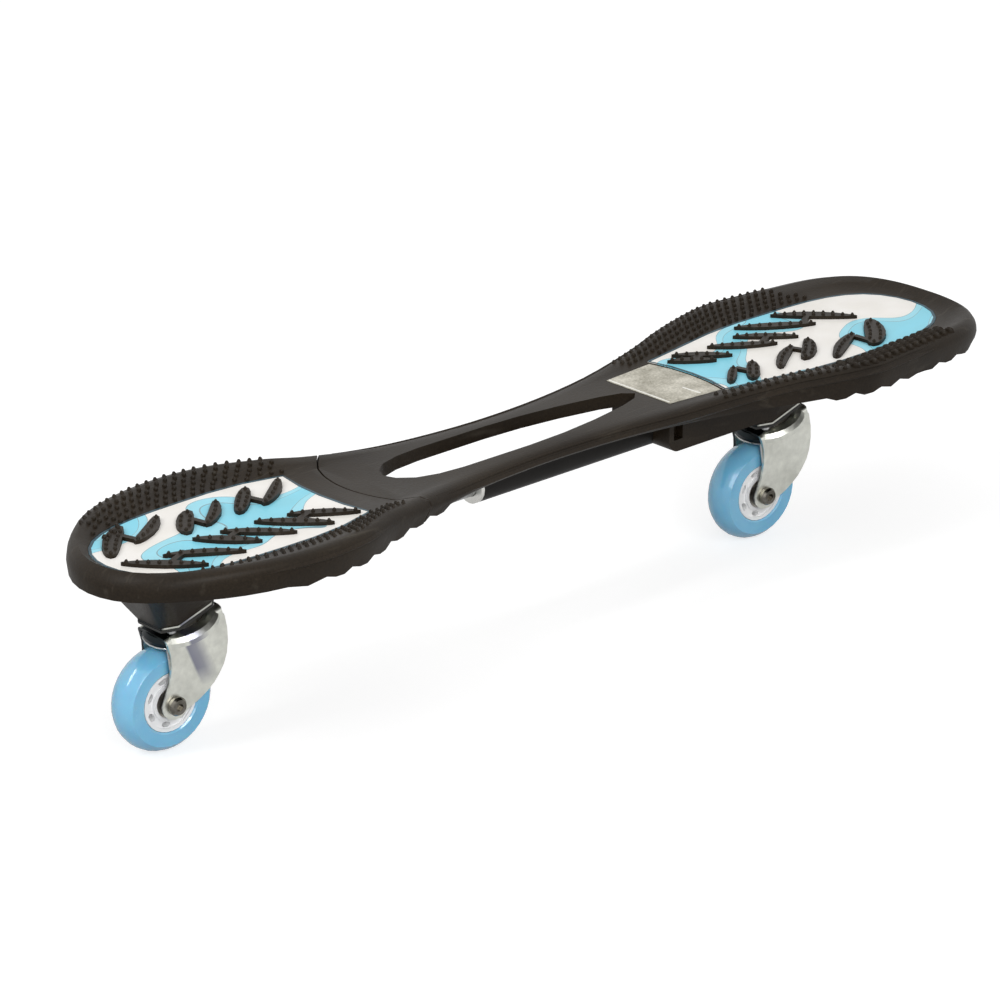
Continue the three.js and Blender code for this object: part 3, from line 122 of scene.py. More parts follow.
def moulded_polypropylene():
    """Brown-black moulded plastic: matt, spark-eroded grain, paler where hands and shoes rub."""
    material, tree, shader, place = begin("moulded_polypropylene", IOR=1.49, Specular_IOR_Level=0.16)
    drift = add(tree, "ShaderNodeTexNoise", {"Vector": place, "Scale": 1 / (55 * MM), "Detail": 3.0})
    # Real grain is about 0.3 mm, drawn at 1.6 mm so that it shows
    grain = add(tree, "ShaderNodeTexNoise", {"Vector": place, "Scale": 1 / (1.6 * MM), "Detail": 2.0})
    body = add(tree, "ShaderNodeValToRGB", {"Fac": drift.outputs[0]},
               [(0.3, linear("#231C14")), (0.7, linear("#2D251B"))])
    fleck = add(tree, "ShaderNodeValToRGB", {"Fac": grain.outputs[0]},
                [(0.3, linear("#D2D2D0")), (0.7, linear("#FFFFFF"))])
    tint = add(tree, "ShaderNodeMix", {0: 1.0, 6: body.outputs[0], 7: fleck.outputs[0]},
               data_type="RGBA", blend_type="MULTIPLY")
    # Scuffs run along the board, about 55 mm long and 4 mm wide
    stretch = add(tree, "ShaderNodeMapping", {"Vector": place, "Scale": (18.0, 260.0, 90.0)})
    scuff = add(tree, "ShaderNodeTexNoise", {"Vector": stretch.outputs[0], "Scale": 1.0, "Detail": 5.0})
    worn = add(tree, "ShaderNodeMapRange", {"Value": scuff.outputs[0], 1: 0.6, 2: 0.8, 3: 0.0, 4: 0.3})
    colour = add(tree, "ShaderNodeMix", {0: worn.outputs[0], 6: tint.outputs[2], 7: linear("#5A544A")},
                 data_type="RGBA")
    gloss = add(tree, "ShaderNodeMapRange", {"Value": grain.outputs[0], 3: 0.36, 4: 0.5})
    relief = add(tree, "ShaderNodeBump",
                 {"Height": grain.outputs[0], "Strength": 0.35, "Distance": 0.35 * MM})
    surface_from(tree, shader, colour.outputs[2], gloss, relief)
    return material


def printed_vinyl():
    """Screen-printed vinyl: satin, flat inks in flowing ribbons of pale blue and white, thin contours."""
    material, tree, shader, place = begin("printed_vinyl", IOR=1.53)
    turned = add(tree, "ShaderNodeMapping",
                 {"Vector": place, "Rotation": (0.0, 0.0, math.radians(64))})
    # Ribbons repeat at about 95 mm and wander over 60 mm
    ribbons = add(tree, "ShaderNodeTexWave",
                  {"Vector": turned.outputs[0], "Scale": 3.3, "Distortion": 4.2, "Detail": 0.0,
                   "Detail Scale": 4.4, "Phase Offset": 1.1},
                  wave_type="BANDS", bands_direction="X", wave_profile="SIN")
    sky, paper, contour = linear("#8ADDF2"), linear("#FBF8F3"), linear("#86A9B4")
    ink = add(tree, "ShaderNodeValToRGB", {"Fac": ribbons.outputs["Fac"]},
              [(0.0, sky), (0.17, contour), (0.19, linear("#A0E5F6")), (0.47, contour), (0.495, paper),
               (1.0, paper)])
    ink.color_ramp.interpolation = "CONSTANT"
    # Fine tooth of the sheet, drawn at 1.2 mm
    tooth = add(tree, "ShaderNodeTexNoise", {"Vector": place, "Scale": 1 / (1.2 * MM), "Detail": 2.0})
    mottle = add(tree, "ShaderNodeTexNoise", {"Vector": place, "Scale": 1 / (30 * MM), "Detail": 4.0})
    dust = add(tree, "ShaderNodeValToRGB", {"Fac": mottle.outputs[0]},
               [(0.35, linear("#F8F7F5")), (0.65, linear("#FFFFFF"))])
    colour = add(tree, "ShaderNodeMix", {0: 1.0, 6: ink.outputs[0], 7: dust.outputs[0]},
                 data_type="RGBA", blend_type="MULTIPLY")
    gloss = add(tree, "ShaderNodeMapRange", {"Value": mottle.outputs[0], 3: 0.34, 4: 0.5})
    relief = add(tree, "ShaderNodeBump",
                 {"Height": tooth.outputs[0], "Strength": 0.12, "Distance": 0.1 * MM})
    surface_from(tree, shader, colour.outputs[2], gloss, relief)
    return material


def outline_ink():
    """Painted shade in dark blue round a sheet's edge, where the raised rim's shadow falls: satin, with a
    patchy tone.
    """
    material, tree, shader, place = begin("outline_ink", IOR=1.5, Roughness=0.45)
    thin = add(tree, "ShaderNodeTexNoise", {"Vector": place, "Scale": 1 / (14 * MM), "Detail": 3.0})
    # Painted shade: two dark blues
    ink = add(tree, "ShaderNodeValToRGB", {"Fac": thin.outputs[0]},
              [(0.3, linear("#143039")), (0.7, linear("#28505F"))])
    tree.links.new(ink.outputs[0], shader.inputs["Base Color"])
    return material


def brushed_metal(name, dark, pale, roughness, streaks, depth):
    """Bare metal with fine tool marks. Streaks gives the marks per metre along x, y and z."""
    material, tree, shader, place = begin(name, Metallic=1.0)
    stretch = add(tree, "ShaderNodeMapping", {"Vector": place, "Scale": streaks})
    marks = add(tree, "ShaderNodeTexNoise",
                {"Vector": stretch.outputs[0], "Scale": 1.0, "Detail": 4.0})
    cloud = add(tree, "ShaderNodeTexNoise", {"Vector": place, "Scale": 1 / (16 * MM), "Detail": 3.0})
    shade = add(tree, "ShaderNodeMath", {0: marks.outputs[0], 1: cloud.outputs[0]}, operation="ADD")
    half = add(tree, "ShaderNodeMath", {0: shade.outputs[0], 1: 0.5}, operation="MULTIPLY")
    tone = add(tree, "ShaderNodeValToRGB", {"Fac": half.outputs[0]},
               [(0.35, linear(dark)), (0.65, linear(pale))])
    gloss = add(tree, "ShaderNodeMapRange",
                {"Value": marks.outputs[0], 1: 0.3, 2: 0.7, 3: roughness - 0.06, 4: roughness + 0.08})
    relief = add(tree, "ShaderNodeBump",
                 {"Height": marks.outputs[0], "Strength": 0.2, "Distance": depth})
    surface_from(tree, shader, tone.outputs[0], gloss, relief)
    return material


# The painted shade of the fork's swivel well fades out between these distances from the middle line
WELL_FADE = (12.5 * MM, 14.3 * MM)
FAR_CHEEK = 12 * MM
# The painted dark reflection band: from and to across it, seen from the axle, and the heights where it
# fades in
REFLECTION_BAND_SPAN = (22 * MM, 38 * MM)
REFLECTION_BAND_FOOT = (8 * MM, 22 * MM)


def pressed_zinc_sheet():
    """Zinc-plated sheet: soft sheen, faint spangle, painted shade in the swivel well and a painted dark
    reflection band.
    """
    material, tree, shader, place = begin("pressed_zinc_sheet", Metallic=1.0)
    coordinates = add(tree, "ShaderNodeTexCoord")
    spangle = add(tree, "ShaderNodeTexNoise", {"Vector": place, "Scale": 1 / (5 * MM), "Detail": 3.0})
    cloud = add(tree, "ShaderNodeTexNoise", {"Vector": place, "Scale": 1 / (22 * MM), "Detail": 2.0})
    both = add(tree, "ShaderNodeMath", {0: spangle.outputs[0], 1: cloud.outputs[0]}, operation="ADD")
    half = add(tree, "ShaderNodeMath", {0: both.outputs[0], 1: 0.5}, operation="MULTIPLY")
    plate = add(tree, "ShaderNodeValToRGB", {"Fac": half.outputs[0]},
                [(0.34, linear("#D6D7CE")), (0.66, linear("#F0F1E8"))])
    axes = add(tree, "ShaderNodeSeparateXYZ", {0: place})
    aside = add(tree, "ShaderNodeMath", {0: axes.outputs[1]}, operation="ABSOLUTE")
    well = add(tree, "ShaderNodeMapRange",
               {"Value": aside.outputs[0], 1: WELL_FADE[0], 2: WELL_FADE[1], 3: 1.0, 4: 0.0})
    # The far cheek's edge is in the well's shade too
    facing = add(tree, "ShaderNodeSeparateXYZ", {0: coordinates.outputs["Normal"]})
    tailward = add(tree, "ShaderNodeMath", {0: facing.outputs[0], 1: -0.35}, operation="LESS_THAN")
    far_side = add(tree, "ShaderNodeMath", {0: axes.outputs[1], 1: FAR_CHEEK}, operation="GREATER_THAN")
    far_edge = add(tree, "ShaderNodeMath", {0: tailward.outputs[0], 1: far_side.outputs[0]},
                   operation="MULTIPLY")
    shade = add(tree, "ShaderNodeMath", {0: far_edge.outputs[0], 1: well.outputs[0]},
                operation="MAXIMUM")
    # Painted shade: the swivel well and the far cheek's tailward edge turn near black
    well_shaded_plate = add(tree, "ShaderNodeMix",
                  {0: shade.outputs[0], 6: plate.outputs[0], 7: linear("#262B2D")}, data_type="RGBA")
    # The tail fork's painted reflection band slants down its cheek. It is sharp towards the axle and soft
    # away from it.
    slant = add(tree, "ShaderNodeVectorMath",
                {0: place, 1: (REFLECTION_BAND_ACROSS[0], 0.0, REFLECTION_BAND_ACROSS[1])}, operation="DOT_PRODUCT")
    axle = AXLE_X["tail"] * REFLECTION_BAND_ACROSS[0] + AXLE_LEVEL * REFLECTION_BAND_ACROSS[1]
    share = add(tree, "ShaderNodeMapRange",
                {"Value": slant.outputs["Value"], 1: axle + REFLECTION_BAND_SPAN[0], 2: axle + REFLECTION_BAND_SPAN[1],
                 3: 0.0, 4: 1.0})
    reflection_band = add(tree, "ShaderNodeValToRGB", {"Fac": share.outputs[0]},
                 [(0.0, (0, 0, 0, 1)), (0.12, (0.95, 0.95, 0.95, 1)), (0.5, (0.8, 0.8, 0.8, 1)),
                  (1.0, (0, 0, 0, 1))])
    low_end = add(tree, "ShaderNodeMapRange",
                  {"Value": axes.outputs[2], 1: AXLE_LEVEL + REFLECTION_BAND_FOOT[0],
                   2: AXLE_LEVEL + REFLECTION_BAND_FOOT[1], 3: 0.0, 4: 1.0})
    faded = add(tree, "ShaderNodeMath", {0: reflection_band.outputs[0], 1: low_end.outputs[0]},
                operation="MULTIPLY")
    # Painted reflection: the band darkens the plate
    tone = add(tree, "ShaderNodeMix",
               {0: faded.outputs[0], 6: well_shaded_plate.outputs[2], 7: linear("#8F90A0")}, data_type="RGBA")
    # Drawing marks of 0.2 mm, drawn at 0.8 mm, up and down the cheeks
    stretch = add(tree, "ShaderNodeMapping",
                  {"Vector": place, "Scale": (1 / (0.8 * MM), 200.0, 60.0)})
    marks = add(tree, "ShaderNodeTexNoise",
                {"Vector": stretch.outputs[0], "Scale": 1.0, "Detail": 2.0})
    gloss = add(tree, "ShaderNodeMapRange",
                {"Value": spangle.outputs[0], 1: 0.3, 2: 0.7, 3: 0.28, 4: 0.4})
    relief = add(tree, "ShaderNodeBump",
                 {"Height": marks.outputs[0], "Strength": 0.1, "Distance": 0.03 * MM})
    surface_from(tree, shader, tone.outputs[2], gloss, relief)
    return material


def powder_coated_steel():
    """Tube with a dark powder coat: semi-gloss with a fine orange-peel skin."""
    material, tree, shader, place = begin("powder_coated_steel", IOR=1.5, Specular_IOR_Level=0.1)
    # Orange peel of 1 mm, drawn at 2 mm
    peel = add(tree, "ShaderNodeTexNoise", {"Vector": place, "Scale": 1 / (2 * MM), "Detail": 1.0})
    drift = add(tree, "ShaderNodeTexNoise", {"Vector": place, "Scale": 1 / (40 * MM), "Detail": 3.0})
    coat = add(tree, "ShaderNodeValToRGB", {"Fac": drift.outputs[0]},
               [(0.3, linear("#1D1C1A")), (0.7, linear("#272523"))])
    gloss = add(tree, "ShaderNodeMapRange", {"Value": drift.outputs[0], 3: 0.3, 4: 0.46})
    relief = add(tree, "ShaderNodeBump",
                 {"Height": peel.outputs[0], "Strength": 0.25, "Distance": 0.2 * MM})
    surface_from(tree, shader, coat.outputs[0], gloss, relief)
    return material


def moulded_solid(name, dark, pale, ior, roughness, grain_mm, depth):
    """Plain moulded material with a faint skin texture and cloudy colour."""
    material, tree, shader, place = begin(name, IOR=ior)
    skin = add(tree, "ShaderNodeTexNoise",
               {"Vector": place, "Scale": 1 / (grain_mm * MM), "Detail": 2.0})
    cloud = add(tree, "ShaderNodeTexNoise", {"Vector": place, "Scale": 1 / (18 * MM), "Detail": 3.0})
    tone = add(tree, "ShaderNodeValToRGB", {"Fac": cloud.outputs[0]},
               [(0.3, linear(dark)), (0.7, linear(pale))])
    gloss = add(tree, "ShaderNodeMapRange",
                {"Value": skin.outputs[0], 3: roughness - 0.05, 4: roughness + 0.07})
    relief = add(tree, "ShaderNodeBump",
                 {"Height": skin.outputs[0], "Strength": 0.2, "Distance": depth})
    surface_from(tree, shader, tone.outputs[0], gloss, relief)
    return material


def cast_polyurethane():
    """Tinted cast tyre: glossy, light soaks a few millimetres in, dust dulls it in specks."""
    material, tree, shader, place = begin(
        "cast_polyurethane", IOR=1.5, Subsurface_Weight=0.3, Subsurface_Scale=6 * MM, Coat_Weight=0.6,
        Coat_Roughness=0.04)
    cloud = add(tree, "ShaderNodeTexNoise", {"Vector": place, "Scale": 1 / (24 * MM), "Detail": 2.0})
    tone = add(tree, "ShaderNodeValToRGB", {"Fac": cloud.outputs[0]},
               [(0.3, linear("#71B8DD")), (0.7, linear("#82C3E4"))])
    # Road dust of 0.3 mm, drawn at 1.5 mm
    speck = add(tree, "ShaderNodeTexNoise", {"Vector": place, "Scale": 1 / (1.5 * MM), "Detail": 3.0})
    dull = add(tree, "ShaderNodeMapRange",
               {"Value": speck.outputs[0], 1: 0.35, 2: 0.75, 3: 0.12, 4: 0.3})
    relief = add(tree, "ShaderNodeBump",
                 {"Height": speck.outputs[0], "Strength": 0.06, "Distance": 0.1 * MM})
    surface_from(tree, shader, tone.outputs[0], dull, relief)
    return material


# Marks per metre of a metal whose marks run no way in particular
EVEN_MARKS = (300.0, 300.0, 300.0)

# Finish of each of the record's slots
FINISHES = {
    "deck_plastic": moulded_polypropylene(),
    "printed_sheet": printed_vinyl(),
    # Bare metallised film: satin silver with a mottled grain of 1.6 mm
    "foil": brushed_metal("metallised_film", "#959182", "#D8D4C8", 0.5, (620.0, 620.0, 620.0), 0.06 * MM),
    "painted_tube": powder_coated_steel(),
    # Turned steel: fine rings and a bright face
    "steel": brushed_metal("turned_steel", "#9A9B9A", "#C6C7C6", 0.3, (500.0, 60.0, 60.0), 0.012 * MM),
    "zinc": pressed_zinc_sheet(),
    # Oil-blackened steel of the swivel bearing: dark, with a soft shine
    "dark_metal": brushed_metal("blackened_steel", "#3A3833", "#57544E", 0.3, EVEN_MARKS, 0.05 * MM),
    "rubber": moulded_solid("black_rubber", "#1A1917", "#262420", 1.52, 0.6, 1.5, 0.2 * MM),
    "bushing_plastic": moulded_solid("black_acetal", "#1C1B19", "#292723", 1.48, 0.4, 1.5, 0.1 * MM),
    "hub_plastic": moulded_solid("white_nylon", "#F0F1F2", "#FAFAFA", 1.53, 0.38, 1.4, 0.08 * MM),
    "tyre": cast_polyurethane(),
}
# Painted shade round the printed sheets' edges
EDGE_SHADE_FINISH = outline_ink()
# A paler, glossier copy of the film along the label's two dashes: painted highlight on their beads
HIGHLIGHT_FILM = brushed_metal("polished_film", "#E2E0D8", "#F4F3EE", 0.2, (40.0, 40.0, 40.0), 0.02 * MM)
# Axle bolts are burnished dark, so that the socket's edges and the head's rim shine
AXLE_STEEL = brushed_metal("burnished_steel", "#57544D", "#8F8B83", 0.16, EVEN_MARKS, 0.05 * MM)
# Oiled wheel bearings: brown-grey turned rings
BEARING_STEEL = brushed_metal("bearing_steel", "#B4ADA2", "#DAD5CB", 0.4, EVEN_MARKS, 0.05 * MM)
# The tube's end ring is freshly turned and nearly white
BRIGHT_STEEL = brushed_metal(
    "bright_turned_steel", "#DCDBD6", "#F2F1EC", 0.26, (200.0, 60.0, 60.0), 0.01 * MM)
SPECIAL_FINISHES = {
    "_axle_bolt": AXLE_STEEL,
    "_bearing_outer_left": BEARING_STEEL,
    "_bearing_outer_right": BEARING_STEEL,
    "tube_end_ring": BRIGHT_STEEL,
}

WELD_GAP = 0.01 * MM


def crease_shading(name, sharp_angle):
    """Shades a solid smooth, and keeps the edges crisp that turn by more than an angle in degrees."""
    group = bpy.data.node_groups.new(name, "GeometryNodeTree")
    group.interface.new_socket("Geometry", in_out="INPUT", socket_type="NodeSocketGeometry")
    group.interface.new_socket("Geometry", in_out="OUTPUT", socket_type="NodeSocketGeometry")
    entry = add(group, "NodeGroupInput")
    bare = add(group, "GeometryNodeRemoveAttribute",
               {"Geometry": entry.outputs[0], "Name": "custom_normal"})
    faces = add(group, "GeometryNodeSetShadeSmooth", {0: bare.outputs[0], 2: True}, domain="FACE")
    angle = add(group, "GeometryNodeInputMeshEdgeAngle")
    sharp = add(group, "FunctionNodeCompare",
                {0: angle.outputs[0], 1: math.radians(sharp_angle)}, operation="GREATER_THAN")
    edges = add(group, "GeometryNodeSetShadeSmooth",
                {0: faces.outputs[0], 1: sharp.outputs[0], 2: False}, domain="EDGE")
    add(group, "NodeGroupOutput", {0: edges.outputs[0]})
    return group


CRISP = crease_shading("crisp_edges", 32)
MOULDED = crease_shading("moulded_edges", 52)


def smooth(thing, shading=CRISP):
    """Shades a piece by one of the two crease groups."""
    modifier = thing.modifiers.new("edge_shading", "NODES")
    modifier.node_group = shading


for node in NODES.values():
    weld = node.modifiers.new("weld", "WELD")
    weld.merge_threshold = WELD_GAP
    smooth(node, MOULDED if node.name.endswith("_deck") else CRISP)
    for slot in node.material_slots:
        slot.material = FINISHES[slot.material.name.split(".")[0]]
    for ending, finish in SPECIAL_FINISHES.items():
        if node.name.endswith(ending):
            node.material_slots[0].material = finish


def surface_of(name):
    """A node's faces, ready for rays."""
    mesh = NODES[name].data
    return BVHTree.FromPolygons([v.co for v in mesh.vertices], [p.vertices for p in mesh.polygons])


def piece_from(bm, name, body, slot, material=None):
    """Turns a bmesh into a named piece that rides on a body."""
    bmesh.ops.recalc_face_normals(bm, faces=bm.faces)
    mesh = bpy.data.meshes.new(name)
    bm.to_mesh(mesh)
    bm.free()
    piece = bpy.data.objects.new(name, mesh)
    bpy.context.scene.collection.objects.link(piece)
    mesh.materials.append(material or FINISHES[slot])
    smooth(piece)
    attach(piece, body)


def bridge(bm, ring, after):
    """A band of four-sided faces between two closed rings of points."""
    for k in range(len(ring)):
        ahead = (k + 1) % len(ring)
        bm.faces.new((ring[k], ring[ahead], after[ahead], after[k]))


SURFACES = {"tail": surface_of("tail_deck"), "nose": surface_of("nose_deck")}
# Rays start this far out
CAST_HEIGHT = 0.3
DOWN = Vector((0, 0, -1))
# A deck's edge is looked for a little below its top, which is measured beside the middle line
TOP_PROBE_ACROSS = 26 * MM
EDGE_DEPTH = 3 * MM


def top_at(end, x, y):
    """Point and upward normal of a deck's top."""
    point, normal, _, _ = SURFACES[end].ray_cast(Vector((x, y, CAST_HEIGHT)), DOWN)
    return point, normal


def edge_at(end, x, side):
    """How far the deck's edge is from the middle line at x."""
    middle, _ = top_at(end, x, side * TOP_PROBE_ACROSS)
    level = (middle.z if middle else FOOT_LEVEL) - EDGE_DEPTH
    point = SURFACES[end].ray_cast(Vector((x, side * CAST_HEIGHT, level)), Vector((0, -side, 0)))[0]
    return abs(point.y) if point else 0.0


STUD_SIDES = 8
STUD_SINK = 0.6 * MM
# Height share and width share of a stud's rings
STUD_RINGS = [(0.0, 1.0), (0.45, 0.8), (0.85, 0.52), (1.0, 0.3)]


def stud(bm, foot, normal, heading, length, width, height):
    """A small rounded stud, longer along its heading."""
    along = (heading - normal * heading.dot(normal)).normalized()
    across = normal.cross(along)
    rings = []
    for rise, share in STUD_RINGS:
        middle = foot + normal * (rise * (height + STUD_SINK) - STUD_SINK)
        ring = []
        for k in range(STUD_SIDES):
            turn = 2 * math.pi * k / STUD_SIDES
            reach = along * (math.cos(turn) * length / 2) + across * (math.sin(turn) * width / 2)
            ring.append(bm.verts.new(middle + reach * share))
        rings.append(ring)
    for low, high in zip(rings, rings[1:]):
        bridge(bm, low, high)
    bm.faces.new(rings[-1])
    bm.faces.new(list(reversed(rings[0])))


# Rim bands of studs, in mm: end, side, x of the band's start and end, spacing, edge insets of its rows,
# how much later each row ends, the studs' length, width and height, and their turn in degrees
RIM_BANDS = [
    ("tail", 1, -369, -203, 8.2, (5.5, 10.5, 15.5, 20.5, 25.5, 30), 2.5, 4.2, 3.8, 2.2, 90),
    ("tail", -1, -356, -184, 6.4, (18.5, 23.5, 28.5), 0, 3.6, 3.2, 2.2, 90),
    ("tail", -1, -246, -180, 6.4, (13.5, 8.5), 0, 3.6, 3.2, 2.2, 90),
    ("nose", 1, 124, 312, 7.6, (5.5, 10.5, 15.5, 20.5, 25.5, 30), 6, 4.2, 3.8, 2.4, 90),
    ("nose", -1, 132, 236, 7.2, (5, 10, 15, 20, 24.5), 0, 4.6, 3.2, 2.2, 68),
    ("nose", -1, 238, 348, 8.4, (5, 11.5, 18, 24.5), 0, 8.6, 3.4, 3.2, 60),
]

# Studs stand only on the raised rim, and its slope is measured over this length to both sides
RIM_RISE = 0.5 * MM
SLOPE_REACH = 2 * MM

# Where the tread pads' along shares start and end, in mm, and the side that their across shares count to
PAD_ENDS = {"tail": (-393, -198, 1), "nose": (395, 150.5, -1)}
# Strokes of the tread pads: along and across at both ends as shares, width and bend in bars
PAD_STROKES = {
    "tail": [
        (0.254, 0.789, 0.06, 0.127, 1.6, -0.3), (0.41, 0.75, 0.203, 0.28, 1.15, 0.3),
        (0.521, 0.63, 0.385, 0.09, 1.55, -0.22), (0.652, 0.66, 0.482, 0.13, 1.1, 0.3),
        (0.809, 0.738, 0.64, 0.17, 1.35, 0), (0.95, 0.7, 0.757, 0.19, 1.1, 0.25),
        (0.047, -0.114, 0.262, -0.83, 1.2, 0), (0.195, -0.262, 0.434, -0.807, 1.05, 0.3),
        (0.367, -0.086, 0.534, -0.692, 1.25, 0.1), (0.479, -0.133, 0.675, -0.756, 1.1, 0.1),
        (0.624, -0.166, 0.827, -0.83, 1.2, 0.15), (0.751, -0.257, 0.963, -0.77, 1.1, 0.2),
    ],
    "nose": [
        (0.243, 0.179, 0.4, 0.88, 2, 0.35), (0.374, 0.413, 0.565, 0.88, 1.2, -0.27),
        (0.512, 0.144, 0.647, 0.65, 1.4, 0.33), (0.594, 0.204, 0.755, 0.665, 1.05, -0.3),
        (0.782, 0.26, 0.89, 0.73, 1.3, 0.1), (0.858, 0.253, 0.96, 0.63, 0.9, 0),
        (0.441, -0.83, 0.249, -0.022, 1.3, 0.3), (0.606, -0.81, 0.388, -0.208, 1.2, 0),
        (0.667, -0.574, 0.514, -0.006, 1, 0.2), (0.79, -0.525, 0.605, -0.011, 1.1, 0),
        (0.924, -0.603, 0.782, -0.089, 1.1, 0.1), (0.97, -0.48, 0.85, -0.086, 1.05, 0.2),
    ],
}
PAD_STUD_PITCH = 7.6 * MM
PAD_STUD = (3.4 * MM, 3.2 * MM, 1.9 * MM)
# Pads wider than this many bars carry two rows, this share of the width off the middle
WIDE_PAD = 1.3
ROW_SHARE = 0.24
PAD_FLATNESS = 0.3 * MM


def pad_point(end, along, across):
    """Point on the pads' level from its shares."""
    outer, inner, side = PAD_ENDS[end]
    x = (outer + (inner - outer) * along) * MM + BOARD_SHIFT
    return Vector((x, side * PAD_SPAN * across, PAD_TOP))


def rim_studs(bm, end):
    """Rows of studs that follow the deck's edge."""
    for band_end, side, first, last, pitch, insets, later, length, width, height, turn in RIM_BANDS:
        if band_end != end:
            continue
        heading = Vector((math.cos(math.radians(turn)), side * math.sin(math.radians(turn)), 0))
        for row, inset in enumerate(insets):
            x = (first + (row % 2) * pitch / 2) * MM
            stop = (last + row * later) * MM
            while x < stop:
                before, after = edge_at(end, x - SLOPE_REACH, side), edge_at(end, x + SLOPE_REACH, side)
                slope = (after - before) / (2 * SLOPE_REACH)
                y = side * (edge_at(end, x, side) - inset * MM * math.hypot(1, slope))
                point, normal = top_at(end, x, y)
                if point and point.z > FOOT_LEVEL + RIM_RISE:
                    stud(bm, point, normal, heading, length * MM, width * MM, height * MM)
                x += pitch * MM / math.hypot(1, slope)


def pad_studs(bm, end):
    """Studs in one or two rows along each tread pad."""
    for along0, across0, along1, across1, width, bend in PAD_STROKES[end]:
        first, last = pad_point(end, along0, across0), pad_point(end, along1, across1)
        heading = (last - first).normalized()
        sideways = Vector((-heading.y, heading.x, 0))
        count = max(3, round((last - first).length / PAD_STUD_PITCH))
        for k in range(count):
            share = (k + 0.5) / count
            bulge = math.sin(math.pi * share)
            middle = first.lerp(last, share) + sideways * (bend * BAR_WIDTH * bulge)
            offsets = (-1, 1) if width >= WIDE_PAD and bulge > 0.5 else (0,)
            for offset in offsets:
                spot = middle + sideways * (offset * width * BAR_WIDTH * ROW_SHARE)
                point, normal = top_at(end, spot.x, spot.y)
                if point and abs(point.z - PAD_TOP) < PAD_FLATNESS:
                    stud(bm, point, normal, heading, *PAD_STUD)


for end, body in DECK_BODY.items():
    bm = bmesh.new()
    rim_studs(bm, end)
    pad_studs(bm, end)
    piece_from(bm, end + "_studs", body, "deck_plastic")

# Width of the painted edge shade, and how far it stands above and below the sheet
EDGE_SHADE_WIDTH = 2.0 * MM
EDGE_SHADE_RISE = 0.25 * MM
# A flat face points this much along its axis, and lies this near to its level
FACING_SHARE = 0.9
LEVEL_TOLERANCE = 0.2 * MM


def outer_loop(name, chosen):
    """The longest edge loop round the chosen faces of a node, as points in order."""
    bm = bmesh.new()
    bm.from_mesh(NODES[name].data)
    bmesh.ops.remove_doubles(bm, verts=bm.verts, dist=WELD_GAP)
    inside = {face for face in bm.faces if chosen(face)}
    rim = {edge for edge in bm.edges if sum(face in inside for face in edge.link_faces) == 1}
    loops = []
    while rim:
        edge = rim.pop()
        start, here = edge.verts
        loop = [start.co.copy()]
        while here != start:
            loop.append(here.co.copy())
            edge = next(other for other in here.link_edges if other in rim)
            rim.remove(edge)
            here = edge.other_vert(here)
        loops.append(loop)
    bm.free()
    return max(loops, key=lambda points: max(p.x for p in points) - min(p.x for p in points))


def insert_top(face):
    """Whether a face belongs to the printed sheet's flat top."""
    off_level = abs(face.calc_center_median().z - FOOT_LEVEL)
    return face.normal.z > FACING_SHARE and off_level < LEVEL_TOLERANCE


def edge_shade_strip(end):
    """Strip of painted shade just inside the printed sheet's edge."""
    points = outer_loop(end + "_insert", insert_top)
    count = len(points)
    area = sum(points[k].x * points[(k + 1) % count].y - points[(k + 1) % count].x * points[k].y
               for k in range(count))
    inward = 1 if area > 0 else -1
    bm = bmesh.new()
    rails = []
    lift = Vector((0, 0, EDGE_SHADE_RISE))
    for k, outer in enumerate(points):
        before, after = points[k - 1], points[(k + 1) % count]
        tangent = (after - before).normalized()
        side = Vector((-tangent.y, tangent.x, 0)) * inward
        inner = outer + side * EDGE_SHADE_WIDTH
        rails.append([bm.verts.new(p) for p in (outer - lift, outer + lift, inner + lift, inner - lift)])
    for k, rail in enumerate(rails):
        bridge(bm, rail, rails[(k + 1) % count])
    piece_from(bm, end + "_insert_outline", DECK_BODY[end], "printed_sheet", EDGE_SHADE_FINISH)


edge_shade_strip("tail")
edge_shade_strip("nose")

# The painted-shade band's profile: how far it drops below the plate, how far in and out of the plate's
# edge it reaches, and the share of the plate's thickness that it covers
RIM_SHADE_DROP = 0.5 * MM
RIM_SHADE_INSIDE = 1.2 * MM
RIM_SHADE_OUTSIDE = 0.4 * MM
RIM_SHADE_SHARE = 0.55


def plate_rim_shade(end):
    """Black band round the lower part of the mounting plate's rim, under its bright upper edge: painted
    shade between the plate and the fork.
    """
    name = end + "_mounting_plate"
    heights = [vertex.co.dot(SWIVEL_AXIS) for vertex in NODES[name].data.vertices]
    bottom, top = min(heights), max(heights)

    def underside(face):
        low_enough = face.calc_center_median().dot(SWIVEL_AXIS) < bottom + LEVEL_TOLERANCE
        return low_enough and face.normal.dot(SWIVEL_AXIS) < -FACING_SHARE

    points = outer_loop(name, underside)
    middle = sum(points, Vector()) / len(points)
    bm = bmesh.new()
    rise_to = RIM_SHADE_SHARE * (top - bottom)
    profile = [(-RIM_SHADE_DROP, -RIM_SHADE_INSIDE), (-RIM_SHADE_DROP, RIM_SHADE_OUTSIDE), (rise_to, RIM_SHADE_OUTSIDE),
               (rise_to, -RIM_SHADE_INSIDE)]
    rails = []
    for point in points:
        outward = (point - middle).normalized()
        rails.append([bm.verts.new(point + SWIVEL_AXIS * rise + outward * reach)
                      for rise, reach in profile])
    for k, rail in enumerate(rails):
        bridge(bm, rail, rails[(k + 1) % len(rails)])
    piece_from(bm, end + "_plate_seal", DECK_BODY[end], "rubber")


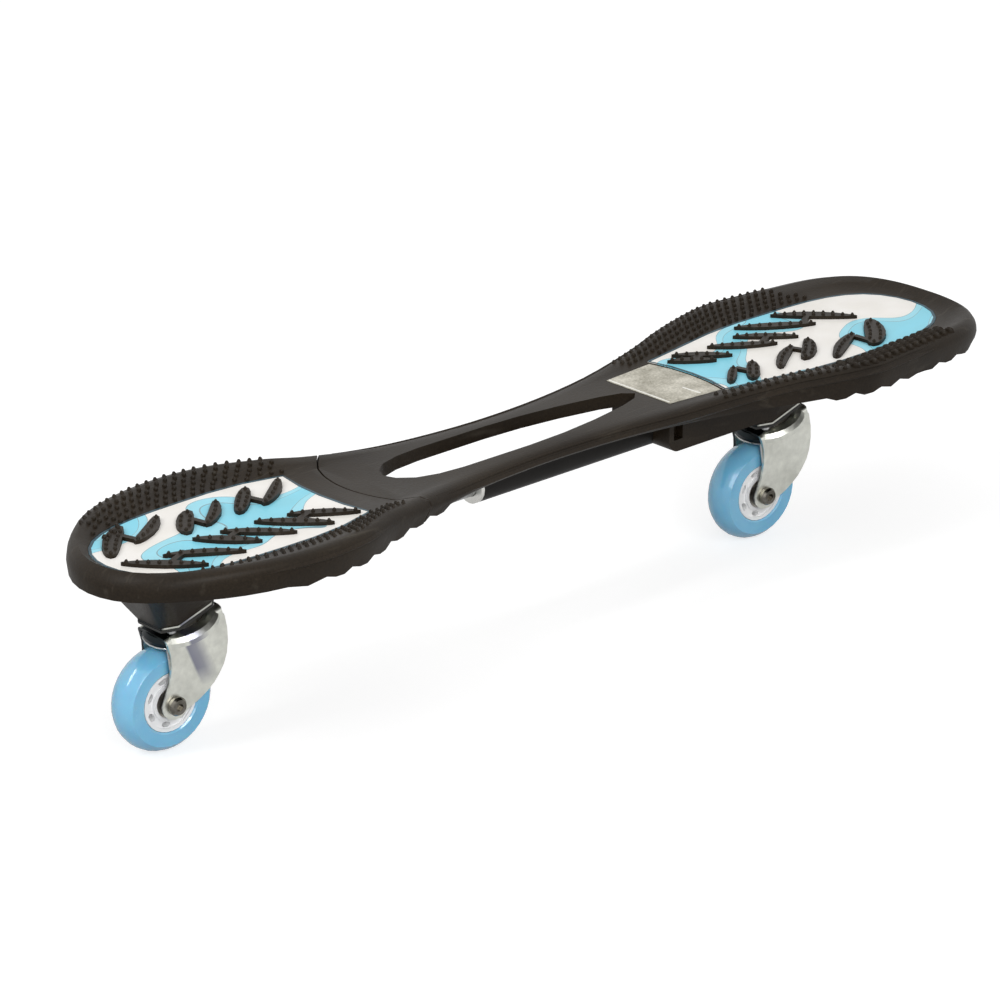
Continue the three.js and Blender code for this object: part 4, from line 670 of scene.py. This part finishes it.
def tube_along(bm, points, radius, sides=8):
    """A closed tube through the points."""
    rings = []
    for k, point in enumerate(points):
        before, after = points[max(k - 1, 0)], points[min(k + 1, len(points) - 1)]
        ahead = (after - before).normalized()
        side = ahead.cross(Vector((0, 0, 1))).normalized()
        up = side.cross(ahead)
        rings.append([bm.verts.new(point + (side * math.cos(turn) + up * math.sin(turn)) * radius)
                      for turn in (2 * math.pi * j / sides for j in range(sides))])
    for ring, after in zip(rings, rings[1:]):
        bridge(bm, ring, after)
    bm.faces.new(rings[0])
    bm.faces.new(rings[-1])


# The lip's half length, radius, and steps to each side of the middle
LIP_REACH = 14 * MM
LIP_RADIUS = 0.8 * MM
LIP_STEPS = 10
# The wall's lower edge is looked for from this far above the axle, in steps, by rays from the front
WALL_TOP = 50
WALL_STEP = 0.2
WALL_STEPS = 120
WALL_BEHIND = 2 * MM
RAY_FRONT = 0.1
RAY_LENGTH = 0.12


def fork_lip(end):
    """Rolled bright lip along the lower edge of the fork's front wall."""
    surface = surface_of(end + "_fork")
    points = []
    for k in range(-LIP_STEPS, LIP_STEPS + 1):
        y = k * LIP_REACH / LIP_STEPS
        # Going down the wall, the last hit near its front is the lower edge
        edge = None
        for step in range(WALL_STEPS):
            level = AXLE_LEVEL + (WALL_TOP - step * WALL_STEP) * MM
            start = Vector((AXLE_X[end] - RAY_FRONT, y, level))
            hit = surface.ray_cast(start, Vector((1, 0, 0)), RAY_LENGTH)[0]
            if not hit or hit.x > AXLE_X[end] + WALL_BEHIND:
                break
            edge = hit
        if edge:
            points.append(edge)
    bm = bmesh.new()
    tube_along(bm, points, LIP_RADIUS)
    piece_from(bm, end + "_fork_lip", end + "_fork_body", "steel")


for end in ("tail", "nose"):
    plate_rim_shade(end)
    fork_lip(end)

# Beads along the board's sides, in mm: end, how far below the rim, x range, and radius
SIDE_BEADS = [
    ("nose", 2.2, -150, 330, 1.3),
    ("nose", 6.5, -126, 330, 2.0),
    ("tail", 6, -335, -200, 1.9),
]
BEAD_SINK = 0.4 * MM
# Four flat faces: the upper ones catch the light and the lower ones stay dark
BEAD_SIDES = 4
# Length of a step in mm, and the number of steps over which an end runs out into the wall
BEAD_STEP = 6
BEAD_RUN_OUT = 5
# The rim's height is taken this far in from the edge, and no bead lies nearer to the middle than this
RIM_PROBE = 9 * MM
WAIST_HALF = 25 * MM


def side_beads(end):
    """Raised beads moulded along both sides of a deck."""
    bm = bmesh.new()
    for bead_end, depth, first, last, radius in SIDE_BEADS:
        if bead_end != end:
            continue
        for side in (-1, 1):
            points = []
            for k in range(int((last - first) / BEAD_STEP) + 1):
                x = (first + k * BEAD_STEP) * MM
                rim, _ = top_at(end, x, side * (edge_at(end, x, side) - RIM_PROBE))
                if not rim:
                    continue
                start = Vector((x, side * CAST_HEIGHT, rim.z - depth * MM))
                hit = SURFACES[end].ray_cast(start, Vector((0, -side, 0)))[0]
                if hit and abs(hit.y) > WAIST_HALF:
                    points.append(hit - Vector((0, side * BEAD_SINK, 0)))
            for k, point in enumerate(points):
                steps_in = min(k, len(points) - 1 - k, BEAD_RUN_OUT)
                point.y -= side * radius * MM * (1 - steps_in / BEAD_RUN_OUT)
            tube_along(bm, points, radius * MM, BEAD_SIDES)
    piece_from(bm, end + "_side_beads", DECK_BODY[end], "deck_plastic")


side_beads("nose")
side_beads("tail")

# Beads embossed in the film label, with a painted highlight: x and y at both ends, in mm
LABEL_TOP = 146.3 * MM
LABEL_BEAD_RADIUS = 0.6 * MM
LABEL_BEAD_STEPS = 10
LABEL_BEADS = [((98.6, 32), (98.6, -31)), ((127.2, -15.5), (128.4, -33))]


def label_beads():
    """The label's two dashes: beads with a painted highlight."""
    bm = bmesh.new()
    for (x0, y0), (x1, y1) in LABEL_BEADS:
        first = Vector((x0 * MM, y0 * MM, LABEL_TOP))
        last = Vector((x1 * MM, y1 * MM, LABEL_TOP))
        shares = [k / LABEL_BEAD_STEPS for k in range(LABEL_BEAD_STEPS + 1)]
        tube_along(bm, [first.lerp(last, share) for share in shares], LABEL_BEAD_RADIUS)
    piece_from(bm, "label_beads", "front", "foil", HIGHLIGHT_FILM)


label_beads()

# Half the floor's width, and its own glow as the camera and as mirrors see it
FLOOR_HALF = 9.0
CAMERA_GLOW = 0.68
MIRROR_GLOW = 0.24


def pale_floor():
    """Pale studio floor: white to the camera with a soft shadow, mid grey to the lamps."""
    material, tree, shader, place = begin("studio_floor", Roughness=0.9)
    cloud = add(tree, "ShaderNodeTexNoise", {"Vector": place, "Scale": 2.0, "Detail": 2.0})
    tone = add(tree, "ShaderNodeValToRGB", {"Fac": cloud.outputs[0]},
               [(0.3, linear("#B4B4B4")), (0.7, linear("#B8B8B8"))])
    path = add(tree, "ShaderNodeLightPath")
    mirrored = add(tree, "ShaderNodeMath", {0: path.outputs["Is Glossy Ray"], 1: MIRROR_GLOW},
                   operation="MULTIPLY")
    glow = add(tree, "ShaderNodeMath",
               {0: path.outputs["Is Camera Ray"], 1: CAMERA_GLOW, 2: mirrored.outputs[0]},
               operation="MULTIPLY_ADD")
    tree.links.new(tone.outputs[0], shader.inputs["Base Color"])
    shader.inputs["Emission Color"].default_value = WHITE
    tree.links.new(glow.outputs[0], shader.inputs["Emission Strength"])
    return material


bm = bmesh.new()
bmesh.ops.create_grid(bm, x_segments=4, y_segments=4, size=FLOOR_HALF)
floor_mesh = bpy.data.meshes.new("studio_floor")
bm.to_mesh(floor_mesh)
bm.free()
floor = bpy.data.objects.new("studio_floor", floor_mesh)
bpy.context.scene.collection.objects.link(floor)
floor_mesh.materials.append(pale_floor())

# Light: an even pale world, which mirrors and the camera see as white, and soft lamps from above
world = bpy.data.worlds.new("studio")
bpy.context.scene.world = world
world.use_nodes = True
sky_tree = world.node_tree
sky_tree.nodes.clear()
path = add(sky_tree, "ShaderNodeLightPath")
direct = add(sky_tree, "ShaderNodeMath",
             {0: path.outputs["Is Camera Ray"], 1: path.outputs["Is Glossy Ray"]}, operation="MAXIMUM")
clear = add(sky_tree, "ShaderNodeMath",
            {0: direct.outputs[0], 1: path.outputs["Is Transmission Ray"]}, operation="MAXIMUM")
soft_sky = add(sky_tree, "ShaderNodeBackground", {"Color": WHITE, "Strength": 0.5})
white_sky = add(sky_tree, "ShaderNodeBackground", {"Color": WHITE, "Strength": 1.0})
sky_mix = add(sky_tree, "ShaderNodeMixShader",
              {0: clear.outputs[0], 1: soft_sky.outputs[0], 2: white_sky.outputs[0]})
add(sky_tree, "ShaderNodeOutputWorld", {"Surface": sky_mix.outputs[0]})


def lamp(name, place, target, size, watts, along=None):
    """A soft rectangular lamp. Along is the direction of its long side."""
    light = bpy.data.lights.new(name, "AREA")
    light.shape = "RECTANGLE"
    light.size, light.size_y = size
    light.energy = watts
    holder = bpy.data.objects.new(name, light)
    bpy.context.scene.collection.objects.link(holder)
    holder.location = place
    back = (Vector(place) - Vector(target)).normalized()
    long_side = Vector(along or (0, 1, 0.01))
    long_side = (long_side - back * long_side.dot(back)).normalized()
    short_side = long_side.cross(back)
    holder.rotation_euler = Matrix((short_side, long_side, back)).transposed().to_euler()
    holder.visible_camera = False


lamp("top_softbox", (-0.3, 0.3, 2.4), (0, 0, 0.1), (1.6, 1.0), 4)
lamp("front_softbox", (-1.7, -2.0, 1.1), (0, 0, 0.1), (1.6, 1.2), 20)
# The strips show as streaks on the glossy tyres
lamp("left_strip", (-4.3, 0.9, 3.9), (-0.1, 0, 0.04), (0.9, 3.4), 85, (0.45, 0.1, 0.6))
lamp("front_strip", (-1.4, -4.45, 3.6), (-0.1, 0, 0.04), (0.6, 3.6), 80, (0.57, 0.1, 0.35))

# Camera, set by the photograph's view of both wheels
camera_data = bpy.data.cameras.new("camera")
camera_data.lens = 172.8
camera_data.sensor_width = 36
camera = bpy.data.objects.new("camera", camera_data)
camera.location = (-2.20155, -2.3343, 1.353)
camera.rotation_euler = (math.radians(68.48), 0, math.radians(-42.8))
bpy.context.scene.collection.objects.link(camera)
bpy.context.scene.camera = camera
bpy.context.scene.view_settings.view_transform = "Standard"
